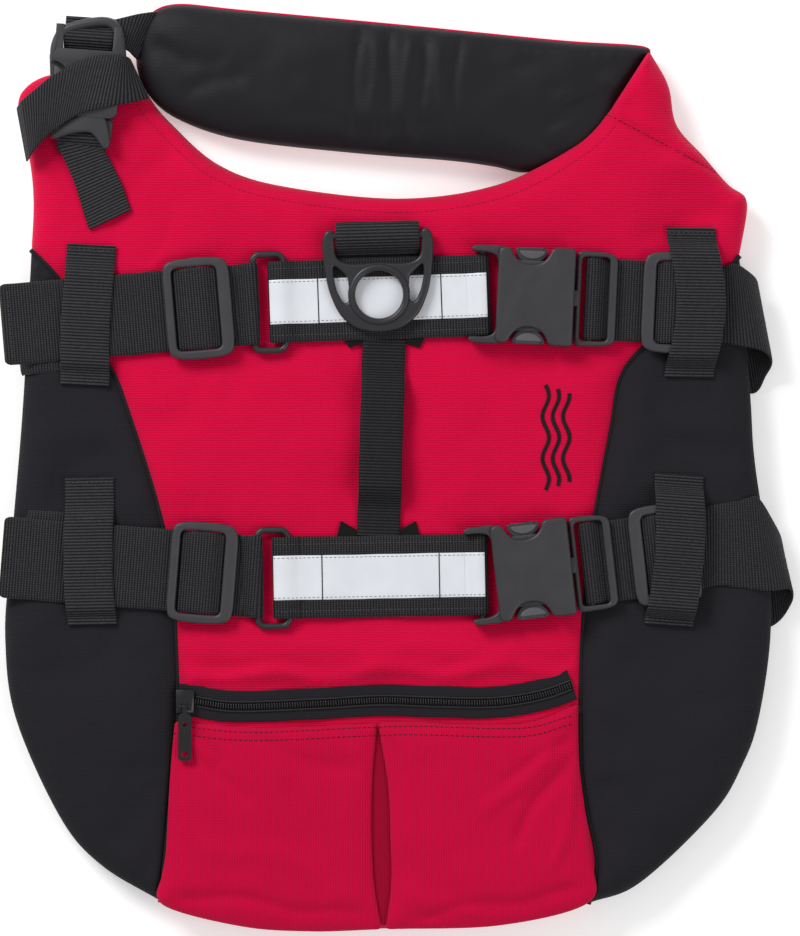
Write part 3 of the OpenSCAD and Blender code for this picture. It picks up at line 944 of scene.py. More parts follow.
@dataclass
class Pad:
    """A closed padded form that swells between its edges."""

    name: str
    edges: Sequence[Edge]
    low: float
    high: float
    presses: Sequence[Press] = ()
    creases: Sequence[Crease] = ()
    puff: float = 2.4
    under_reach: float = 9.0
    cell: float = 5.0
    crumple: float = 0.8
    cap: float = 2.2
    top_limit: float = 27.6
    press_fade: float = 22.0
    hold_fade: float = 9.0
    fold_gain: float = 1.5
    pressure: float = 4.0
    steps: int = 20
    _seed: float = field(default=0.0, repr=False)

    def outline(self) -> tuple[np.ndarray, np.ndarray]:
        """Sample the outline and the heights along it.

        Returns:
            Points in millimetres, and rows of top height, bottom height and reach.
        """
        points, heights = [], []
        for edge in self.edges:
            run = smooth_path([(x, y, 0) for x, y in edge.points], 3.5)[:-1, :2]
            points.append(run)
            heights.append(np.tile((edge.top, edge.bottom, edge.reach, edge.inset), (len(run), 1)))
        points, heights = np.vstack(points), np.vstack(heights)
        ahead, back = np.roll(points, -1, 0), np.roll(points, 1, 0)
        area = (points[:, 0] * ahead[:, 1] - ahead[:, 0] * points[:, 1]).sum()
        if area < 0:
            points, heights = points[::-1], heights[::-1]
            ahead, back = np.roll(points, -1, 0), np.roll(points, 1, 0)
        for _ in range(3):
            heights = (np.roll(heights, 1, 0) + heights * 2 + np.roll(heights, -1, 0)) / 4
        tangent = ahead - back
        normal = np.stack([-tangent[:, 1], tangent[:, 0]], 1)
        normal /= np.linalg.norm(normal, axis=1)[:, None]
        self._inward = normal
        return points + normal * heights[:, 3:], heights[:, :3]

    @staticmethod
    def inside(points: np.ndarray, ring: np.ndarray) -> np.ndarray:
        """Tell which points lie inside a closed ring.

        Args:
            points: The points.
            ring: The ring's corners in order.

        Returns:
            A yes or no for each point.
        """
        result = np.zeros(len(points), bool)
        a, b = ring, np.roll(ring, -1, 0)
        for p, q in zip(a, b):
            crosses = (p[1] > points[:, 1]) != (q[1] > points[:, 1])
            with np.errstate(divide="ignore", invalid="ignore"):
                at = (q[0] - p[0]) * (points[:, 1] - p[1]) / (q[1] - p[1]) + p[0]
            result ^= crosses & (points[:, 0] < at)
        return result

    @staticmethod
    def nearest(points: np.ndarray, ring: np.ndarray) -> tuple[np.ndarray, np.ndarray]:
        """Return each point's distance from the ring's line and its nearest ring point.

        Args:
            points: The points.
            ring: The ring's corners in order.

        Returns:
            The distances, and the indices of the nearest corners.
        """
        a, b = ring, np.roll(ring, -1, 0)
        best = np.full(len(points), 1e9)
        index = np.zeros(len(points), int)
        for i, (p, q) in enumerate(zip(a, b)):
            d = q - p
            t = np.clip(((points - p) @ d) / (d @ d), 0, 1)
            far = np.hypot(*(points - p - t[:, None] * d).T)
            closer = far < best
            best[closer] = far[closer]
            index[closer] = np.where(t[closer] < 0.5, i, (i + 1) % len(ring))
        return best, index

    def build(self) -> bpy.types.Object:
        """Build the pad: outline, cells, crown, swelling, folds.

        Returns:
            The closed pad, not yet dressed.
        """
        ring, heights = self.outline()
        flat = [ring]
        for depth in (1.2, 3.2, 6.0):
            inner = ring + self._inward * depth
            far, _ = self.nearest(inner, ring)
            inner = inner[self.inside(inner, ring) & (far > depth * 0.93)]
            flat.append(inner[:: 1 if depth < 4 else 2])
        low_x, high_x = ring.min(0), ring.max(0)
        rows = np.arange(low_x[1], high_x[1], self.cell * 0.866)
        grid = np.array([
            (x + (self.cell / 2 if j % 2 else 0), y)
            for j, y in enumerate(rows) for x in np.arange(low_x[0], high_x[0], self.cell)
        ])
        far, _ = self.nearest(grid, ring)
        flat.append(grid[self.inside(grid, ring) & (far > 6.0 + self.cell * 0.6)])
        flat = np.vstack(flat)
        count = len(ring)
        result = geometry.delaunay_2d_cdt(
            [Vector(p) for p in flat], [], [list(range(count))], 1, 1e-6
        )
        plan, faces = np.array([tuple(v) for v in result[0]]), [tuple(f) for f in result[2]]
        far, index = self.nearest(plan, ring)
        edge = far < 1e-4
        top_edge, low_edge, reach = heights[index].T
        crown = np.sqrt(1 - (1 - np.clip(far / reach, 0, 1)) ** 2)
        under = np.sqrt(1 - (1 - np.clip(far / self.under_reach, 0, 1)) ** 2)
        top = top_edge + (self.high - top_edge) * crown
        bottom = low_edge + (self.low - low_edge) * under
        free = np.ones(len(plan))
        for press in self.presses:
            t = np.clip(press.away(plan[:, 0], plan[:, 1]) / self.press_fade, 0, 1)
            free = np.minimum(free, t * t * (3 - 2 * t))
        top += self.puff * free * crown
        size = len(plan)
        verts = np.vstack([np.column_stack([plan, top]), np.column_stack([plan, bottom])]) * MM
        polys = list(faces) + [tuple(size + i for i in reversed(f)) for f in faces]
        sides: dict[tuple[int, int], int] = {}
        for f in faces:
            for a, b in zip(f, f[1:] + f[:1]):
                sides[(a, b)] = 1
        for a, b in list(sides):
            if (b, a) not in sides:
                polys.append((b, a, size + a, size + b))
        piece = outward(mesh_object(self.name, verts, polys))
        held = np.concatenate([edge | (free < 0.15), np.ones(size, bool)])
        self.swell(piece, held, np.concatenate([crown, np.zeros(size)]))
        live = piece.modifiers.new("finer", "SUBSURF")
        live.levels = live.render_levels = 1
        settle(piece)
        self.fold(piece, ring)
        piece.data.polygons.foreach_set("use_smooth", [True] * len(piece.data.polygons))
        return piece

    def swell(self, piece: bpy.types.Object, held: np.ndarray, share: np.ndarray) -> None:
        """Blow the pad up as cloth under pressure, with its held points fixed.

        Args:
            piece: The pad.
            held: Which points stay where they are.
            share: How much of the movement each point keeps.
        """
        scene = bpy.context.scene
        group = piece.vertex_groups.new(name="held")
        group.add([int(i) for i in np.flatnonzero(held)], 1.0, "REPLACE")
        live = piece.modifiers.new("puff", "CLOTH")
        cloth = live.settings
        cloth.quality = 4
        cloth.tension_stiffness = cloth.compression_stiffness = 8
        cloth.bending_stiffness = 0.4
        cloth.use_pressure = True
        cloth.uniform_pressure_force = self.pressure
        cloth.effector_weights.gravity = 0
        cloth.vertex_group_mass = "held"
        live.point_cache.frame_start, live.point_cache.frame_end = 1, self.steps
        for step in range(1, self.steps + 1):
            scene.frame_set(step)
        graph = bpy.context.evaluated_depsgraph_get()
        blown = piece.evaluated_get(graph).to_mesh()
        after, before = np.zeros(len(held) * 3), np.zeros(len(held) * 3)
        blown.vertices.foreach_get("co", after)
        piece.data.vertices.foreach_get("co", before)
        move = (after - before).reshape(-1, 3)
        move[~np.isfinite(move).all(1)] = 0
        move[held] = 0
        move *= share[:, None]
        long = np.linalg.norm(move, axis=1)
        move *= (self.cap * MM * np.tanh(long / (self.cap * MM)) / np.maximum(long, 1e-9))[:, None]
        place = before.reshape(-1, 3) + move
        piece.modifiers.clear()
        piece.vertex_groups.clear()
        piece.data.vertices.foreach_set("co", place.ravel())
        piece.data.update()
        scene.frame_set(1)
        log.info("%s swelled by up to %.1f mm", self.name, np.linalg.norm(move, axis=1).max() / MM)

    def fold(self, piece: bpy.types.Object, ring: np.ndarray) -> None:
        """Add soft folds and crumples to the upper side, and keep it under what lies on it.

        Args:
            piece: The pad's mesh object.
            ring: The pad's outline in millimetres.
        """
        co = np.zeros(len(piece.data.vertices) * 3)
        piece.data.vertices.foreach_get("co", co)
        co = co.reshape(-1, 3)
        x, y = co[:, 0] / MM, co[:, 1] / MM
        far, _ = self.nearest(co[:, :2] / MM, ring)
        up = (co[:, 2] > (self.low + self.high) / 2 * MM) * np.clip(far / 6, 0, 1)
        soft = np.array([
            noise.noise((a / 34, b / 34, self._seed)) * 1.5 + noise.noise((a / 13, b / 13, self._seed + 5)) * 0.5
            for a, b in zip(x, y)
        ])
        drop = self.fold_gain * sum((c.drop(x, y) for c in self.creases), np.zeros(len(x)))
        co[:, 2] += up * (soft * self.crumple - drop) * MM
        hold = np.ones(len(x))
        for press in self.presses:
            hold = np.minimum(hold, np.clip(press.away(x, y) / self.hold_fade, 0, 1))
        limit = np.minimum(self.high - 0.1 + (self.top_limit - self.high) * hold, self.top_limit) * MM
        co[:, 2] = np.where(up > 0, np.minimum(co[:, 2], limit), co[:, 2])
        piece.data.vertices.foreach_set("co", co.ravel())
        piece.data.update()


# --- the vest's own layout, in millimetres ------------------------------------

RING_AT = {Row.FRONT: (-67.0, 84.0), Row.REAR: (-65.0, -56.0)}
JOIN_AT = {Row.FRONT: (48.0, 88.0), Row.REAR: (47.0, -54.0)}
LEFT_TILT = {Row.FRONT: 4.8, Row.REAR: -4.5}
RIGHT_TILT = {Row.FRONT: -2.6, Row.REAR: 6.5}
LEFT_REACH = {Row.FRONT: 136.0, Row.REAR: 138.0}
RIGHT_REACH = {Row.FRONT: 144.0, Row.REAR: 152.0}


@dataclass(frozen=True)
class Keeper:
    """A loop sewn across a strap: its place on it, its own turn, its length and how far it bows."""

    u: float
    v: float
    turn: float
    long: float
    sway: float
    arch: float

    def on(self, strap: Place) -> Place:
        """Return the loop's own frame, which runs across the strap."""
        return moved(strap, self.u, self.v, 90 + self.turn)


LEFT_KEEPER = {Row.FRONT: Keeper(-92.2, 1.5, -7.6, 71.5, -0.5, 22.6),
    Row.REAR: Keeper(-93.8, 6.4, 5.6, 75.0, -0.9, 22.6)}
RIGHT_KEEPER = {Row.FRONT: Keeper(102.6, 0.7, 1.8, 76.0, 3.2, 27.2),
    Row.REAR: Keeper(94.6, 1.6, -10.5, 77.0, 1.6, 27.8)}
PLUG_SLIDER = {Row.FRONT: 92.0, Row.REAR: 88.0}
PLY_MID = (PLY + WEB_T / 2) / MM
TOP_PLY_MID = (PLY_TWO + WEB_T / 2) / MM
SLIDER_Z = (PLY_TWO + WEB_T) / MM + 0.3
FOLD = 2.4
BAR_Z = PLY_MID + FOLD

# Where each right strap turns round the vest's edge: its two edges and its height
FLARE = {
    Row.FRONT: [
        (152, 86, 160, 46, 2.35), (172, 88, 180, 38, 3.2), (180, 92, 187, 47, 7), (181.5, 96, 189.5, 54, 14),
        (176, 101, 184, 59.5, 20.4),
        (170, 104, 173, 62, 22.6), (163, 102.8, 163, 63.6, PLY_MID),
    ],
    Row.REAR: [
        (166, -42, 166, -84, 2.35), (188, -50, 190, -81, 3.2), (194.5, -39, 199.5, -70, 7.5),
        (190, -27, 199, -62, 14.5), (182, -15, 187, -62.5, 20.4),
        (172, -16.5, 174, -61, 22.6), (160, -18.5, 160, -60, PLY_MID),
    ],
}

LEFT_SHOULDER = [(-188, 111), (-187, 136), (-189, 157), (-195, 184), (-190, 195), (-177, 201), (-155, 203),
    (-138, 208)]
NECKLINE = [
    (-138, 208), (-127, 188), (-116, 175), (-93, 155), (-61, 144), (0, 137.5), (51, 145), (89, 165), (107, 182),
]
RIGHT_SHOULDER = [(127, 213), (137, 195), (141, 175), (155, 159), (168, 144), (176, 139), (177, 130), (173, 108)]
RIGHT_SEAM = [
    (173, 108), (164, 98), (138, 74), (114, 50), (107, 19), (98, -31), (94, -67), (92, -98),
    (92, -148), (95, -173), (100, -201), (96, -222),
]
BOTTOM_EDGE = [(96, -222), (51, -231), (-10, -235), (-81, -231), (-122, -221)]
LEFT_SEAM = [
    (-122, -221), (-116, -158), (-113, -118), (-116, -57), (-124, -16), (-140, 34), (-148, 52), (-172, 94),
    (-188, 111),
]
RIGHT_EDGE = [
    (173, 108), (175, 90), (179, 34), (181, 4), (188, -47), (189, -87), (183, -128),
    (175, -151), (160, -176), (122, -212), (96, -222),
]
LEFT_EDGE = [
    (-122, -221), (-152, -203), (-173, -179), (-196, -128), (-201.5, -87), (-199, -47), (-193, 24), (-190, 75),
    (-188, 111),
]
FOLD_EDGE = [(107, 182), (117, 197.5), (127, 213)]
FLOAT_TOP = [
    (128.5, 210.5), (124, 215.5), (81, 218.5), (0, 226.5), (-81, 234), (-113, 237), (-127, 232.5), (-133, 222),
]
FLOAT_LOW = [
    (-133, 222), (-134, 205), (-127.5, 190), (-112, 178), (-81, 168), (-25, 161.5), (25, 157.5), (48, 154.5),
    (66, 151.5), (92, 160.5), (113, 179),
]
POCKET_TOP = [(-114.5, -128.5), (-74, -132), (0, -129), (60, -130), (90.5, -120)]


def on_center(row: Row) -> Place:
    """Return the frame of a belt's middle part, at its ring."""
    (x, y), (a, b) = RING_AT[row], JOIN_AT[row]
    return Place(x * MM, y * MM, math.degrees(math.atan2(b - y, a - x)))


def on_left(row: Row) -> Place:
    """Return the frame of a belt's left part, at its ring."""
    return Place(RING_AT[row][0] * MM, RING_AT[row][1] * MM, LEFT_TILT[row])


def on_right(row: Row) -> Place:
    """Return the frame of a belt's right part, at the back of the buckle."""
    return Place(JOIN_AT[row][0] * MM, JOIN_AT[row][1] * MM, RIGHT_TILT[row])


def center_length(row: Row) -> float:
    """Return the length of a belt's middle part in millimetres."""
    (x, y), (a, b) = RING_AT[row], JOIN_AT[row]
    return math.hypot(a - x, b - y)


def edge_rows(pairs: Sequence[Sequence[float]]) -> list[tuple[float, ...]]:
    """Turn pairs of edge points, in millimetres of the vest's frame, into strap rows.

    Args:
        pairs: Rows of the left-hand edge's x and y, the other edge's x and y, and a height.

    Returns:
        Rows of x, y, z, turn and half width.
    """
    rows = []
    for ax, ay, bx, by, z in pairs:
        turn = math.degrees(math.atan2(-(ax - bx), ay - by))
        rows.append(((ax + bx) / 2, (ay + by) / 2, z, turn, math.hypot(ax - bx, ay - by) / 2))
    return rows


def rows_in(place: Place, rows: Sequence[Sequence[float]], half: float) -> list[tuple[float, ...]]:
    """Turn strap rows of a place's frame into rows of the vest's frame, in millimetres.

    Args:
        place: The frame that the rows are given in.
        rows: Rows of u, v, z and, if there is one, a turn.
        half: Half the strap's width.

    Returns:
        Rows of x, y, z, turn and half width.
    """
    result = []
    for u, v, z, *more in rows:
        x, y, _ = place.at(u * MM, v * MM, 0)
        result.append((x / MM, y / MM, z, place.turn + (more[0] if more else 0), half))
    return result


def moved(place: Place, u: float, v: float = 0.0, turn: float = 0.0) -> Place:
    """Return a place shifted by millimetres in its own frame and turned."""
    x, y, _ = place.at(u * MM, v * MM, 0)
    return Place(x, y, place.turn + turn)


def turn_back(bar: float, way: int, upper: float = TOP_PLY_MID) -> list[tuple[float, float, float]]:
    """Return the rows of webbing that comes in on the upper ply and folds back round a bar.

    Args:
        bar: The bar's place along the strap in millimetres.
        way: 1 where the fold bulges to +u, -1 where it bulges to -u.
        upper: Height of the upper ply's middle in millimetres.

    Returns:
        Rows of u, v and z in millimetres.
    """
    rows = [(bar - way * 9.6, 0, upper), (bar - way * 7.8, 0, upper + 0.15), (bar - way * 3, 0, BAR_Z + FOLD - 0.25)]
    for angle in range(0, 181, 30):
        t = math.radians(angle)
        rows.append((bar + way * FOLD * math.sin(t), 0, BAR_Z + FOLD * math.cos(t)))
    return rows + [(bar - way * 3, 0, PLY_MID), (bar - way * 10, 0, PLY_MID)]


def belt_presses() -> list[Press]:
    """Return the strips that the belts, keepers and handle hold down.

    Returns:
        One strip for each stretch of strap that lies on the panels.
    """
    result = []
    for row in Row:
        left, right = on_left(row), on_right(row)
        for a, b in ((left.at(-0.14, 0, 0), left.at(0, 0, 0)), (left.at(0, 0, 0), right.at(0, 0, 0)),
                     (right.at(0, 0, 0), right.at(0.15, 0, 0))):
            result.append(Press(a[0] / MM, a[1] / MM, b[0] / MM, b[1] / MM, 20))
        for keeper, strap in ((LEFT_KEEPER[row], left), (RIGHT_KEEPER[row], right)):
            place, half = keeper.on(strap), keeper.long / 2 + 1
            a, b = place.at(-half * MM, 0, 0), place.at(half * MM, 0, 0)
            result.append(Press(a[0] / MM, a[1] / MM, b[0] / MM, b[1] / MM, 13))
    result.append(Press(-11, -42, -10.5, -20, 14))
    result.append(Press(-8.5, 48, -8, 70, 14))
    result.append(Press(-11.4, 104, -11.4, 124, 22))
    return result


# --- sub-assemblies -----------------------------------------------------------


@dataclass
class Body:
    """The three padded panels with their lining and seams."""

    low: float = PANEL_LOW / MM
    high: float = PANEL_TOP / MM
    seam_top: float = 18.6
    piping: float = 1.2

    def panel(self, name: str, edges: Sequence[Edge], finish: object, nodes: Sequence[str],
            **more: object) -> bpy.types.Object:
        """Build, dress and declare one panel.

        Args:
            name: The piece's name.
            edges: The runs of its outline.
            finish: Its cloth.
            nodes: The CAD nodes that it stands for.
            **more: Further settings of the pad.

        Returns:
            The finished panel.
        """
        pad = Pad(name, edges, self.low, self.high, **more)
        piece = dress(pad.build(), finish)
        return stand_for(piece, "vest", *nodes)

    def build(self) -> None:
        """Build the panels, the lining and the seams between them."""
        presses = belt_presses()
        pocket = [Press(-100, y, 80, y, half) for y, half in ((-131, 20), (-160, 24), (-205, 30))]
        neck = [Press(-170, 205, -150, 130, 34), Press(-180, 190, -135, 200, 18)]
        seam, outer = self.seam_top, 12.5
        back = [
            Edge(LEFT_SHOULDER, outer, 9.5, 12), Edge(NECKLINE, outer, 9.5, 13), Edge(FOLD_EDGE, 20.4, 8, 7),
            Edge(RIGHT_SHOULDER, outer, 9.5, 14), Edge(RIGHT_SEAM, seam, 6, 13), Edge(BOTTOM_EDGE, outer, 9.5, 12),
            Edge(LEFT_SEAM, seam, 6, 13),
        ]
        folds = [
            Crease(105, 178.5, 160, 150, 1.5, 1.1), Crease(108, 183.5, 160, 155.5, 2.5, -0.5),
            Crease(-100, -100, -20, -104, 4, 1.2), Crease(0, -102, 88, -100, 5, 1.2),
            Crease(-60, -92, 70, -93, 6, -0.8), Crease(-114, -106.5, 92, -101, 4.5, -2.2),
            Crease(112, 186, 138, 160, 6, 1.2), Crease(-116, 172, -150, 120, 9, 0.9),
            Crease(60, 40, 96, -20, 10, 0.7), Crease(-120, 20, -90, 60, 10, 0.7), Crease(120, 120, 168, 128, 7, 1.2),
            Crease(-92, 32, -60, 62, 8, 0.7), Crease(30, 62, 84, 48, 8, 0.6), Crease(118, 178, 170, 138, 9, -0.7),
        ]
        self.back = self.panel(
            "back_panel", back, RED_CLOTH, ("back_shell", "back_foam"), presses=presses + pocket + neck, creases=folds
        )
        self.left = self.panel(
            "left_panel", [Edge(LEFT_SEAM[::-1], seam - 0.6, 6, 13), Edge(LEFT_EDGE, outer, 9.5, 17)],
            BLACK_CLOTH, ("left_side_shell", "left_foam"), presses=presses,
            creases=[Crease(-180, -20, -150, 10, 8, 1.0), Crease(-190, -110, -140, -90, 9, 0.8),
                     Crease(-150, -190, -125, -150, 9, 1.2), Crease(-130, -205, -128, -160, 7, 1.0)],
            _seed=11.0,
        )
        self.right = self.panel(
            "right_panel", [Edge(RIGHT_EDGE, outer, 9.5, 17), Edge(RIGHT_SEAM[::-1], seam - 0.6, 6, 13)],
            BLACK_CLOTH, ("right_side_shell", "right_foam"), presses=presses,
            creases=[Crease(125, 30, 170, 0, 8, 1.0), Crease(110, -100, 170, -120, 9, 0.8),
                     Crease(104, -160, 135, -195, 8, 1.2), Crease(104, -130, 112, -200, 7, 1.0)],
            _seed=23.0,
        )
        runs = (LEFT_SHOULDER, NECKLINE, FOLD_EDGE, RIGHT_SHOULDER, RIGHT_EDGE, BOTTOM_EDGE, LEFT_EDGE)
        edge = [Edge(run, 5, 4.4, 6, 4.5) for run in runs]
        lining = Pad("belly_lining", edge, self.low - 0.6, self.low + 1.4, puff=0, crumple=0.15, cell=7, cap=0.6,
            top_limit=6)
        piece = dress(lining.build(), LINING_CLOTH)
        stand_for(piece, "vest", "vest_lining")
        self.seams()

    def seams(self) -> None:
        """Lay piping and stitches along the seams between the panels."""
        tubes = []
        for points in (LEFT_SEAM, RIGHT_SEAM):
            path = smooth_path([(x * MM, y * MM, (self.seam_top + 0.4) * MM) for x, y in points], 2.5 * MM)
            tubes.append(path)
        piece = dress(tube("seam_piping_cord", tubes, self.piping * MM), BLACK_CLOTH)
        stand_for(piece, "vest", "seam_piping")
        trees = [surface(self.back), surface(self.left), surface(self.right)]
        shoulder = drape(smooth_path([(106 * MM, 179.5 * MM, 0), (160 * MM, 151 * MM, 0)], 2 * MM), trees, 0.1)
        neck = drape(inner_line(NECKLINE, -7.5), trees, 0.1)
        lines = dress(STITCH.along("shoulder_stitches", [shoulder], BLACK_THREAD), BLACK_THREAD)
        stand_for(lines, "vest", slot="webbing")
        lines = dress(STITCH.along("neckline_stitches", [neck], RED_THREAD), RED_THREAD)
        stand_for(lines, "vest", slot="red_cloth")


def tube(name: str, paths: Sequence[np.ndarray], radius: float, around: int = 8) -> bpy.types.Object:
    """Make closed round tubes along paths.

    Args:
        name: The piece's name.
        paths: Arrays of points in metres.
        radius: The tube's radius in metres.
        around: The number of points round it.

    Returns:
        One object with a tube for each path.
    """
    verts, faces = [], []
    for path in paths:
        heading = np.gradient(path[:, :3], axis=0)
        heading /= np.linalg.norm(heading, axis=1)[:, None]
        side = np.cross(heading, (0, 0, 1.0))
        side /= np.maximum(np.linalg.norm(side, axis=1), 1e-9)[:, None]
        up = np.cross(side, heading)
        start = len(verts)
        for i in range(len(path)):
            for k in range(around):
                t = 2 * math.pi * k / around
                verts.append(path[i, :3] + (side[i] * math.cos(t) + up[i] * math.sin(t)) * radius)
        for i in range(len(path) - 1):
            for k in range(around):
                a, b = start + i * around + k, start + i * around + (k + 1) % around
                faces.append((a, b, b + around, a + around))
        faces.append(tuple(start + k for k in range(around))[::-1])
        faces.append(tuple(len(verts) - around + k for k in range(around)))
    return outward(mesh_object(name, verts, faces))


def surface(piece: bpy.types.Object) -> BVHTree:
    """Return a tree that finds a piece's surface."""
    return BVHTree.FromPolygons([v.co for v in piece.data.vertices], [tuple(p.vertices) for p in piece.data.polygons])


def drape(path: np.ndarray, trees: Sequence[BVHTree], lift: float) -> np.ndarray:
    """Drop a path onto the highest of some surfaces.

    Args:
        path: Points in metres.
        trees: The surfaces.
        lift: Height over the surface in millimetres.

    Returns:
        The points on the surface, without those that miss it.
    """
    found = []
    for p in path:
        hits = [tree.ray_cast(Vector((p[0], p[1], 0.1)), Vector((0, 0, -1)))[0] for tree in trees]
        heights = [h.z for h in hits if h is not None]
        if heights:
            found.append((p[0], p[1], max(heights) + lift * MM))
    return np.array(found)


def inner_line(points: Sequence[tuple[float, float]], shift: float) -> np.ndarray:
    """Return a smooth line beside some points, shifted to its left by millimetres.

    Args:
        points: The line's points in millimetres.
        shift: How far to the left, negative for the right.

    Returns:
        Points in metres.
    """
    path = smooth_path([(x * MM, y * MM, 0) for x, y in points], 2.5 * MM)
    tangent = np.gradient(path, axis=0)
    tangent /= np.linalg.norm(tangent, axis=1)[:, None]
    return (path + np.stack([-tangent[:, 1], tangent[:, 0], tangent[:, 2]], 1) * shift * MM)[2:-2]


def plate(name: str, points: Sequence[tuple[float, float]], low: float, high: float,
        bevel: float = 0.4) -> bpy.types.Object:
    """Make a flat plate of an outline with rounded edges, all in millimetres.

    Args:
        name: The piece's name.
        points: The outline.
        low: Height of its underside.
        high: Height of its upper side.
        bevel: Radius of its edges.

    Returns:
        The closed plate.
    """
    work = bmesh.new()
    face = work.faces.new([work.verts.new((x * MM, y * MM, low * MM)) for x, y in points])
    grown = bmesh.ops.extrude_face_region(work, geom=[face])
    bmesh.ops.translate(work, vec=(0, 0, (high - low) * MM),
        verts=[g for g in grown["geom"] if isinstance(g, bmesh.types.BMVert)])
    bmesh.ops.recalc_face_normals(work, faces=work.faces)
    bmesh.ops.bevel(work, geom=work.edges[:], offset=bevel * MM, segments=2, affect="EDGES", profile=0.5)
    mesh = bpy.data.meshes.new(name)
    work.to_mesh(mesh)
    work.free()
    piece = bpy.data.objects.new(name, mesh)
    bpy.context.collection.objects.link(piece)
    return piece


@dataclass
class Collar:
    """The padded chest float over the neck opening, with its fold at the right shoulder."""

    high: float = 18.6
    split: float = 10.0
    rim: float = 0.8
    dome: float = 6.0

    def build(self) -> None:
        """Build the red outer shell and the black inner side."""
        presses = [Press(112, 185, 124, 208, 6)]
        creases = [Crease(x, 168, x + 3, 226, 2.2, d) for x,
            d in ((-24, 0.8), (-15, -0.5), (-7, 0.8), (2, -0.5), (10, 0.8), (19, -0.4), (27, 0.7))]
        creases += [Crease(60, 205, 118, 205, 4, 1.0), Crease(80, 185, 116, 200, 4, -0.8),
            Crease(70, 175, 112, 192, 4, 1.0),
            Crease(-126, 215, -90, 205, 5, 0.8), Crease(-110, 190, -80, 200, 5, 0.9),
            Crease(-60, 180, 20, 172, 5, 0.5)]
        shell = Pad("collar_outer", [Edge(FLOAT_TOP, self.split + 0.8, self.split - 1, 6),
            Edge(FLOAT_LOW, self.split, self.split - 1, 6)],
                    0.3, self.split + 0.9, puff=0, crumple=0.1, under_reach=12, cap=1.0, top_limit=self.split + 1)
        piece = dress(shell.build(), RED_CLOTH)
        stand_for(piece, "collar", "collar_shell")
        inner = Pad("collar_inner", [Edge(FLOAT_TOP, self.split + 1, self.split, 15, self.rim),
            Edge(FLOAT_LOW, self.split - 1.5, self.split - 2.5, 17, -0.6)],
                    self.split - 2.6, self.high, presses=presses, creases=creases, puff=1.2, crumple=0.8,
                    cell=4, top_limit=self.high + self.dome, _seed=37.0)
        piece = dress(inner.build(), LINING_CLOTH)
        stand_for(piece, "collar", "collar_lining", "collar_foam")


